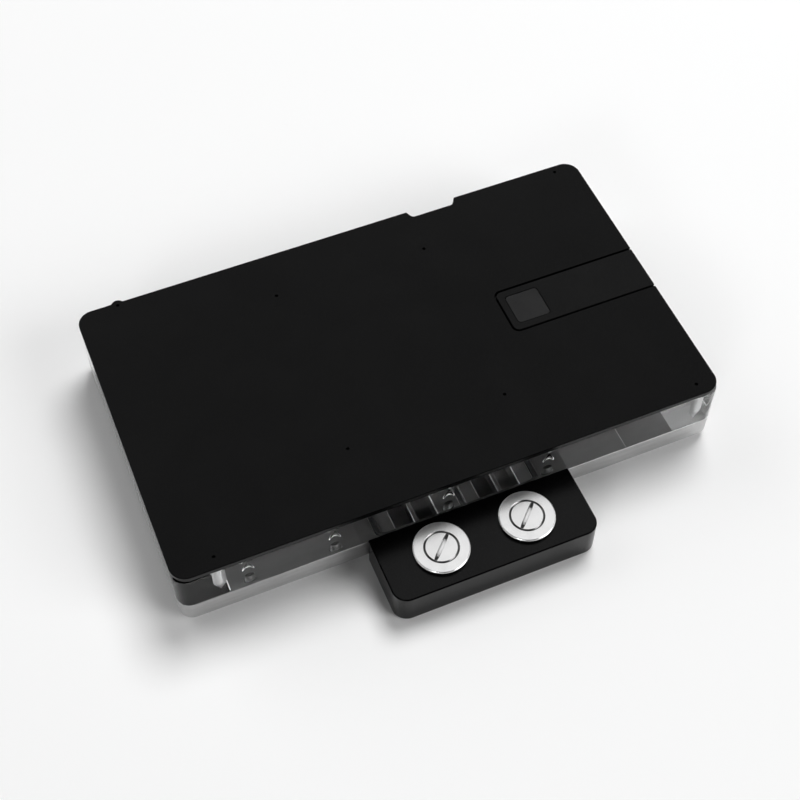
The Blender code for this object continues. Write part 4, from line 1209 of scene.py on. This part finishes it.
cold = {
    "brokenEdge": 0.08,
    "pocketEdge": 0.34,
    "middle": (94.85, 58.85),
    "field": (49.7, 36.0),
    "fieldCorner": 3.0,
    "fieldFoot": 0.3,
    "channelFloor": 5.4,
    "channelFront": 2.7,
    "leftChannels": (72.8, 87.4),
    "rightChannels": (102.5, 116.7),
    "ribs": ((79.4, 80.8), (109.1, 110.6)),
    "ribEnd": 28.0,
    "ribDrop": 0.3,
    "ribEdge": 0.15,
    "finLength": 30.0,
    "finThickness": 0.6,
    "finPitch": 1.2,
    "finCount": 29,
    "finHeight": 2.6,
    "finEdge": 0.04,
    "root": 0.3,
    "seat": (26.6, 43.4),
    "seatCorner": 0.4,
    "seatFoot": 0.1,
    "grooveWidth": 1.7,
    "grooveDepth": 1.8,
    "reliefWall": 1.0,
    "reliefRear": 24.0,
    "reliefDepth": 3.0,
    "reliefCorner": 1,
    "reliefFoot": 0.4,
    "leftReliefEnd": 16.3,
    "rightReliefStart": 173.4,
    "shallowStart": 156.0,
    "shallowOverlap": 1.2,
    "shallowDepth": 0.5,
    "shallowCorner": 0.5,
    "shallowFoot": 0.1,
    "pedestal": 32.0,
    "pedestalRise": 1.4,
    "landRise": 0.9,
    "landWidth": 11.0,
    "landGap": 2.0,
    "sideLand": 32.0,
    "crossLand": 34.0,
    "powerLands": (39.0, 151.0),
    "powerLandHalf": 5,
    "powerLandEnds": (20.0, 19.0),
    "landEdge": 0.2,
    "landCorner": 1,
    "dieStandoffs": (38, 33),
    "farStandoffs": [(12.0, 22.0), (12.0, 90.0), (176.0, 22.0), (176.0, 92.0)],
    "standoffRadius": 3.5,
    "standoffEdge": 0.3,
    "tapRadius": 1.3,
    "tapDepth": 4.8,
    "tapPoint": 0.5,
    "tapMouth": 0.2,
    "tabThickness": 2.2,
    "tabCorner": 1.5,
    "tabRoot": 1,
    "tabEdge": 0.15,
    "shank": 2.15,
    "screwHead": 3.5,
    "screwHeadDepth": 2.2,
    "holeEdge": 0.15,
    "holeSides": 48,
    "tapSides": 32,
    "boltSlot": 1.5,
    "boltSlotLow": 2,
}
mainSeal = {
    "left": 66.85,
    "right": 122.85,
    "front": 1.65,
    "back": 86.5,
    "corner": 4.0,
    "bar": 96.6,
    "cord": 1.5,
    "roundness": 0.35,
}
fieldX, fieldY = cold["middle"]
standoffPlaces = [
    (fieldX + across * cold["dieStandoffs"][0], fieldY + along * cold["dieStandoffs"][1])
    for across in (-1, 1)
    for along in (-1, 1)
] + cold["farStandoffs"]


def flowOutline():
    c = cold
    (width, depth), (a, b), (d, e) = c["field"], c["leftChannels"], c["rightChannels"]
    left, right = fieldX - width / 2, fieldX + width / 2
    front, back = fieldY - depth / 2, fieldY + depth / 2
    mouth, corner, small = c["channelFront"], c["fieldCorner"], c["fieldCorner"] / 3
    corners = [(a, mouth, small), (b, mouth, small), (b, front, small), (d, front, small)]
    corners += [(d, mouth, small), (e, mouth, small), (e, front, small), (right, front, small)]
    corners += [(right, back, corner), (left, back, corner), (left, front, small)]
    corners.append((a, front, small))
    return roundedOutline(corners)


def addSealLoop(shape, cord, floor, top, edge, foot):
    # the band between two rounded rectangles, as one closed ring
    s, half = mainSeal, cord / 2
    middle = roundedBox(s["left"], s["right"], s["front"], s["back"], s["corner"])
    layers = [(half - foot, floor), (half, floor + foot), (half, top - edge), (half + edge, top)]
    layers += [(-width, height) for width, height in reversed(layers)]
    rings = grownRings(shape, middle, layers)
    joinRings(shape, rings + rings[:1], len(middle))


def barOutline(width):
    s = mainSeal
    return roundedBox(s["bar"] - width / 2, s["bar"] + width / 2, s["front"], s["back"])


def addColdPlateBelow(shape):
    c = cold
    root = coldLow + c["root"]
    edge = c["landEdge"]
    half = c["pedestal"] / 2
    near = half + c["landGap"]
    far = near + c["landWidth"]
    side, cross = c["sideLand"] / 2, c["crossLand"] / 2
    x, y = fieldX, fieldY
    front, rear = c["powerLandEnds"][0], bodyShape["depth"] - c["powerLandEnds"][1]
    lands = [(x - far, x - near, y - side, y + side), (x + near, x + far, y - side, y + side)]
    lands += [(x - cross, x + cross, y - far, y - near), (x - cross, x + cross, y + near, y + far)]
    for at in c["powerLands"]:
        lands.append((at - c["powerLandHalf"], at + c["powerLandHalf"], front, rear))
    pads = [(c["pedestalRise"], (x - half, x + half, y - half, y + half))]
    for rise, box in pads + [(c["landRise"], box) for box in lands]:
        base = coldLow - rise
        outline = roundedBox(*box, c["landCorner"])
        addLayers(shape, outline, [(-edge, base), (0, base + edge), (0, root)])
    radius, edge = c["standoffRadius"], c["standoffEdge"]
    profile = [(0, 0), (radius - edge, 0), (radius, edge), (radius, root), (0, root)]
    addTurned(shape, profile, standoffPlaces, c["holeSides"])


def addTabs(shape):
    c = cold
    half, reach, edge = terminal["tabWidth"] / 2, terminal["tabReach"], c["tabEdge"]
    corner, root = c["tabCorner"], c["tabRoot"]
    low = coldLow + c["brokenEdge"]
    high = coldLow + c["tabThickness"]
    layers = [(-edge, low), (0, low + edge), (0, high - edge), (-edge, high)]
    for x in terminal["tabs"]:
        left, right = x - half, x + half
        corners = [(left, -reach, corner), (right, -reach, corner)]
        corners += [(right, root, 0), (left, root, 0)]
        addLayers(shape, roundedOutline(corners), layers)


def addDeepReliefs(shape):
    c = cold
    wall, rear, end = c["reliefWall"], c["reliefRear"], bodyShape["length"] - c["reliefWall"]
    left, right = c["leftReliefEnd"], c["rightReliefStart"]
    outer, inner = clear["corner"] - wall, c["reliefCorner"]
    floor = coldHigh - c["reliefDepth"]
    for corners in (
        [(wall, wall, outer), (left, wall, inner), (left, rear, inner), (wall, rear, inner)],
        [(right, wall, inner), (end, wall, outer), (end, rear, inner), (right, rear, inner)],
    ):
        outline = roundedOutline(corners)
        addPocket(shape, outline, floor, coldHigh, c["pocketEdge"], c["reliefFoot"])


def addShallowRelief(shape):
    c = cold
    left, right = c["shallowStart"], c["rightReliefStart"] + c["shallowOverlap"]
    outline = roundedBox(left, right, c["reliefWall"], c["reliefRear"], c["shallowCorner"])
    floor = coldHigh - c["shallowDepth"]
    addPocket(shape, outline, floor, coldHigh, c["pocketEdge"], c["shallowFoot"])


def addFlowPocket(shape):
    c = cold
    addPocket(shape, flowOutline(), c["channelFloor"], coldHigh, c["pocketEdge"], c["fieldFoot"])


def addFlowPlateSeat(shape):
    c = cold
    outline = boxRound(fieldX, fieldY, *c["seat"], c["seatCorner"])
    floor = c["channelFloor"] + c["finHeight"]
    addPocket(shape, outline, floor, coldHigh, c["pocketEdge"], c["seatFoot"])


def addFins(shape):
    c = cold
    pitch, top, edge = c["finPitch"], c["channelFloor"] + c["finHeight"], c["finEdge"]
    first = fieldY - pitch * (c["finCount"] - 1) / 2
    layers = [(0, c["channelFloor"] - c["root"]), (0, top - edge), (-edge, top)]
    for number in range(c["finCount"]):
        outline = boxRound(fieldX, first + number * pitch, c["finLength"], c["finThickness"])
        addLayers(shape, outline, layers)


def addRibs(shape):
    c = cold
    top, edge = coldHigh - c["ribDrop"], c["ribEdge"]
    layers = [(0, c["channelFloor"] - c["root"]), (0, top - edge), (-edge, top)]
    for left, right in c["ribs"]:
        outline = roundedBox(left, right, c["channelFront"] - c["root"], c["ribEnd"])
        addLayers(shape, outline, layers)


def addSealGroove(shape):
    c = cold
    above = 0.3
    floor = coldHigh - c["grooveDepth"]
    addSealLoop(shape, c["grooveWidth"], floor, coldHigh + above, c["pocketEdge"] + above, 0.15)


def addBarGroove(shape):
    c = cold
    outline = barOutline(c["grooveWidth"])
    addPocket(shape, outline, coldHigh - c["grooveDepth"], coldHigh, c["pocketEdge"])


def addFrontWindows(shape):
    half = terminal["passageWidth"] / 2
    for at in terminal["passages"]:
        outline = roundedBox(at - half, at + half, -overcut, cold["channelFront"] + overcut)
        addSlab(shape, outline, terminal["passageLow"], terminal["passageHigh"])


def addDrillings(shape):
    c = cold
    bore, head, edge = c["shank"], c["screwHead"], c["holeEdge"]
    headEnd = coldLow + c["screwHeadDepth"]
    below, above, flare = coldLow - overcut, coldHigh + overcut, edge + overcut
    profile = [(0, below), (head + flare, below), (head, coldLow + edge), (head, headEnd)]
    profile += [(bore, headEnd), (bore, coldHigh - edge), (bore + flare, above), (0, above)]
    addTurned(shape, profile, bodyScrewPlaces, c["holeSides"])
    tap, depth, mouth = c["tapRadius"], c["tapDepth"], c["tapMouth"]
    profile = [(0, -overcut), (tap + mouth + overcut, -overcut), (tap, mouth)]
    profile += [(tap, depth), (0, depth + c["tapPoint"])]
    addTurned(shape, profile, standoffPlaces, c["tapSides"])
    slot, low, high = c["boltSlot"], c["boltSlotLow"], coldLow + c["tabThickness"] + overcut
    places = [(x, terminal["boltY"]) for x in terminal["tabs"]]
    addTurned(shape, [(0, low), (slot, low), (slot, high), (0, high)], places, c["tapSides"])


def finishColdPlate(plate):
    c = cold
    glintEdge, paintedShadePocket, land, highlightRim = 1, 2, 3, 4
    for name in ("bright_edge", "dark_pocket", "nickel_land", "pale_rim"):
        plate.data.materials.append(finishes[name])
    floor, wall, rear = coldHigh - c["reliefDepth"], c["reliefWall"], c["reliefRear"]
    leftEnd, rightStart, near = c["leftReliefEnd"], c["rightReliefStart"], 0.05
    # how steep a face is, by the height of its normal, and how far it may lie from top and rim
    steep, flat, fromTop, fromRim = 0.3, 0.93, 0.6, 0.5
    for face in plate.data.polygons:
        at = toDrawing @ face.center
        up = face.normal.z
        nearTop = at.z > coldHigh - fromTop
        across = min(at.x, bodyShape["length"] - at.x)
        onRim = min(across, at.y, bodyShape["depth"] - at.y) < fromRim
        if nearTop and steep < up < flat and not onRim:
            # broken edges of the pockets carry painted highlight lines: matt near-white where they
            # face +x, bright polished metal elsewhere
            face.material_index = highlightRim if face.normal.x > steep else glintEdge
        if nearTop and up > flat:
            face.material_index = land
        ofRelief = wall - near < at.y < rear + near and floor - 0.1 < at.z < coldHigh - 0.12
        # the faces of the deep left relief are painted near black as painted shade
        if ofRelief and wall - near < at.x < leftEnd + 0.1:
            face.material_index = paintedShadePocket
        # the right corner relief is painted near white as painted light in the lit recess
        if ofRelief and at.x > rightStart - 0.1 and not onRim:
            face.material_index = highlightRim
        # the top of the front wall at both reliefs is painted near white as a painted highlight
        # line
        atEnds = at.x < leftEnd or at.x > rightStart
        if atEnds and at.z > floor and at.y < wall + 0.3 and up > steep:
            face.material_index = highlightRim


def makeColdPlate():
    outline = bodyOutline(clear["corner"])
    plate = slabPiece("coldPlate", "nickel_plate", outline, coldLow, coldHigh)
    breakEdges(plate, cold["brokenEdge"])
    tools = [
        carve(plate, "lands and standoffs", addColdPlateBelow, how="UNION"),
        carve(plate, "terminal tabs", addTabs, how="UNION"),
        carve(plate, "flow pocket", addFlowPocket),
        carve(plate, "flow plate seat", addFlowPlateSeat),
        carve(plate, "fins", addFins, how="UNION"),
        carve(plate, "ribs", addRibs, how="UNION"),
        carve(plate, "seal groove", addSealGroove),
        carve(plate, "bar groove", addBarGroove),
        carve(plate, "deep reliefs", addDeepReliefs),
        carve(plate, "shallow relief", addShallowRelief),
        carve(plate, "front windows", addFrontWindows),
        carve(plate, "drillings", addDrillings),
    ]
    settle(plate, tools, softAngle=35)
    finishColdPlate(plate)
    standIn(plate, "nickel_plate", "cold_plate")


def makeMainSeal():
    low, high = heights("main_seal")
    soft = mainSeal["roundness"]
    shape = bmesh.new()
    addSealLoop(shape, mainSeal["cord"], low, high, -soft, soft)
    seal = toPiece(shape, "mainSeal", finishes["black_rubber"])
    layers = [(-soft, low), (0, low + soft), (0, high - soft), (-soft, high)]
    bar = barOutline(mainSeal["cord"])
    across = carve(seal, "seal bar", addLayers, bar, layers, how="UNION")
    settle(seal, (across,), softAngle=50)
    standIn(seal, "black_rubber", "main_seal")


flowPlate = {"gap": 0.3, "brokenEdge": 0.1}


def makeFlowPlate():
    f = flowPlate
    edge, (length, width) = f["brokenEdge"], cold["seat"]
    low, high = heights("flow_plate")
    shape = bmesh.new()
    outline = boxRound(fieldX, fieldY, length - 2 * f["gap"], width - 2 * f["gap"])
    addLayers(shape, outline, [(-edge, low), (0, low + edge), (0, high - edge), (-edge, high)])
    plate = toPiece(shape, "flowPlate", finishes["flow_plate_steel"])
    bar, half = mainSeal["bar"], cold["grooveWidth"] / 2
    outline = roundedBox(bar - half, bar + half, 0, bodyShape["depth"])
    floor = coldHigh - cold["grooveDepth"]
    groove = carve(plate, "bar groove", addPocket, outline, floor, coldHigh, edge)
    settle(plate, (groove,))
    standIn(plate, "flow_plate_steel", "flow_plate")


# Stage, light and camera

studio = {
    "floorSize": 3.4,
    "floorColour": (0.96, 0.96, 0.96),
    "ambient": 0.01,
    "horizonWhite": 1.0,
    "horizonLow": 0.12,
    "horizonHigh": 0.40,
    "distance": 3.4,
}
# directions in degrees, and reach is how wide a softbox looks from the object
softboxes = {
    "key": {"round": 41, "up": 60.5, "reach": 16, "radiance": 8.9, "mirrored": False},
    "roof": {"round": 64, "up": 56, "reach": 30, "radiance": 0.88, "lighting": False},
    "rear": {"round": 129, "up": 31, "reach": 25, "radiance": 1.5},
    "front": {"round": 314, "up": 30, "reach": 18, "radiance": 4.3},
    "left": {"round": 226, "up": 26, "reach": 7, "radiance": 7.5},
}
viewpoint = {
    "focalLength": 65.84,
    "sensor": 36,
    "farthest": 50,
    "stand": (
        (0.9229, 0.3168, -0.2190, -0.1107),
        (-0.3851, 0.7583, -0.5260, -0.2596),
        (0.0, 0.5698, 0.8218, 0.4220),
        (0, 0, 0, 1),
    ),
}


def makeFloor():
    shape = bmesh.new()
    half = studio["floorSize"] / 2
    corners = ((-half, -half), (half, -half), (half, half), (-half, half))
    shape.faces.new([shape.verts.new((x, y, 0)) for x, y in corners])
    mesh = bpy.data.meshes.new("studioFloor")
    shape.to_mesh(mesh)
    shape.free()
    floor = newObject("studioFloor", mesh)

    finish, tree, shader = newFinish("studio_floor")
    shader.inputs["Base Color"].default_value = (*studio["floorColour"], 1)
    shader.inputs["Roughness"].default_value = 1.0
    shader.inputs["Specular IOR Level"].default_value = 0.0
    # the floor can be looked through from below, so that it doesn't hide the underside
    side = tree.nodes.new("ShaderNodeNewGeometry")
    openBelow = tree.nodes.new("ShaderNodeBsdfTransparent")
    pick = tree.nodes.new("ShaderNodeMixShader")
    tree.links.new(side.outputs["Backfacing"], pick.inputs["Fac"])
    tree.links.new(shader.outputs[0], pick.inputs[1])
    tree.links.new(openBelow.outputs[0], pick.inputs[2])
    tree.links.new(pick.outputs[0], tree.nodes["Material Output"].inputs["Surface"])
    mesh.materials.append(finish)


def makeSky():
    # white behind the object; shiny and clear surfaces see it white near the horizon only
    world = bpy.data.worlds.new("studio")
    bpy.context.scene.world = world
    world.use_nodes = True
    tree = world.node_tree
    background = tree.nodes["Background"]
    background.inputs["Color"].default_value = (1, 1, 1, 1)
    where = tree.nodes.new("ShaderNodeTexCoord")
    split = tree.nodes.new("ShaderNodeSeparateXYZ")
    tree.links.new(where.outputs["Generated"], split.inputs[0])
    low, high, ambient = studio["horizonLow"], studio["horizonHigh"], studio["ambient"]
    fade = spreadOf(tree, split.outputs["Z"], low, high, studio["horizonWhite"], ambient)

    def combined(how, first, second):
        node = tree.nodes.new("ShaderNodeMath")
        node.operation = how
        tree.links.new(first, node.inputs[0])
        if isinstance(second, float):
            node.inputs[1].default_value = second
        else:
            tree.links.new(second, node.inputs[1])
        return node.outputs[0]

    path = tree.nodes.new("ShaderNodeLightPath").outputs
    shiny = combined("MAXIMUM", path["Is Glossy Ray"], path["Is Transmission Ray"])
    seen = combined("MAXIMUM", combined("MULTIPLY", shiny, fade), path["Is Camera Ray"])
    tree.links.new(combined("MAXIMUM", seen, ambient), background.inputs["Strength"])


def addSoftbox(name, values):
    # a round softbox far away
    rise = math.radians(values["up"])
    level = onCircle((0, 0), math.cos(rise), math.radians(values["round"]))
    towards = Vector((*level, math.sin(rise)))
    radius = studio["distance"] * math.tan(math.radians(values["reach"]))
    light = bpy.data.lights.new(name, "AREA")
    light.shape = "DISK"
    light.size = 2 * radius
    light.energy = values["radiance"] * math.pi * math.pi * radius * radius
    lamp = newObject(name, light)
    lamp.location = towards * studio["distance"]
    lamp.rotation_euler = towards.to_track_quat("Z", "Y").to_euler()
    lamp.visible_glossy = values.get("mirrored", True)
    lamp.visible_diffuse = values.get("lighting", True)


def makeCamera():
    lens = bpy.data.cameras.new("camera")
    lens.lens = viewpoint["focalLength"]
    lens.sensor_width = viewpoint["sensor"]
    lens.clip_end = viewpoint["farthest"]
    camera = newObject("camera", lens)
    camera.matrix_world = Matrix(viewpoint["stand"])
    bpy.context.scene.camera = camera


makeCamera()
makeFloor()
makeSky()
for name, values in softboxes.items():
    addSoftbox(name, values)
bpy.context.scene.view_settings.view_transform = "Standard"
print("studio ready")

makeCover()
makeStripAndTile()
makeCoverScrews()
print("cover, strip, tile and cover screws made")
makeClearTop()
makeBushes()
print("clear top and bushes made")
makeTerminal()
makeTerminalSeals()
makePlugs()
makeORings()
print("terminal, plugs and their seals made")
makeScrewsBelow()
makeColdPlate()
makeMainSeal()
makeFlowPlate()
print("screws, cold plate, seal and flow plate made")
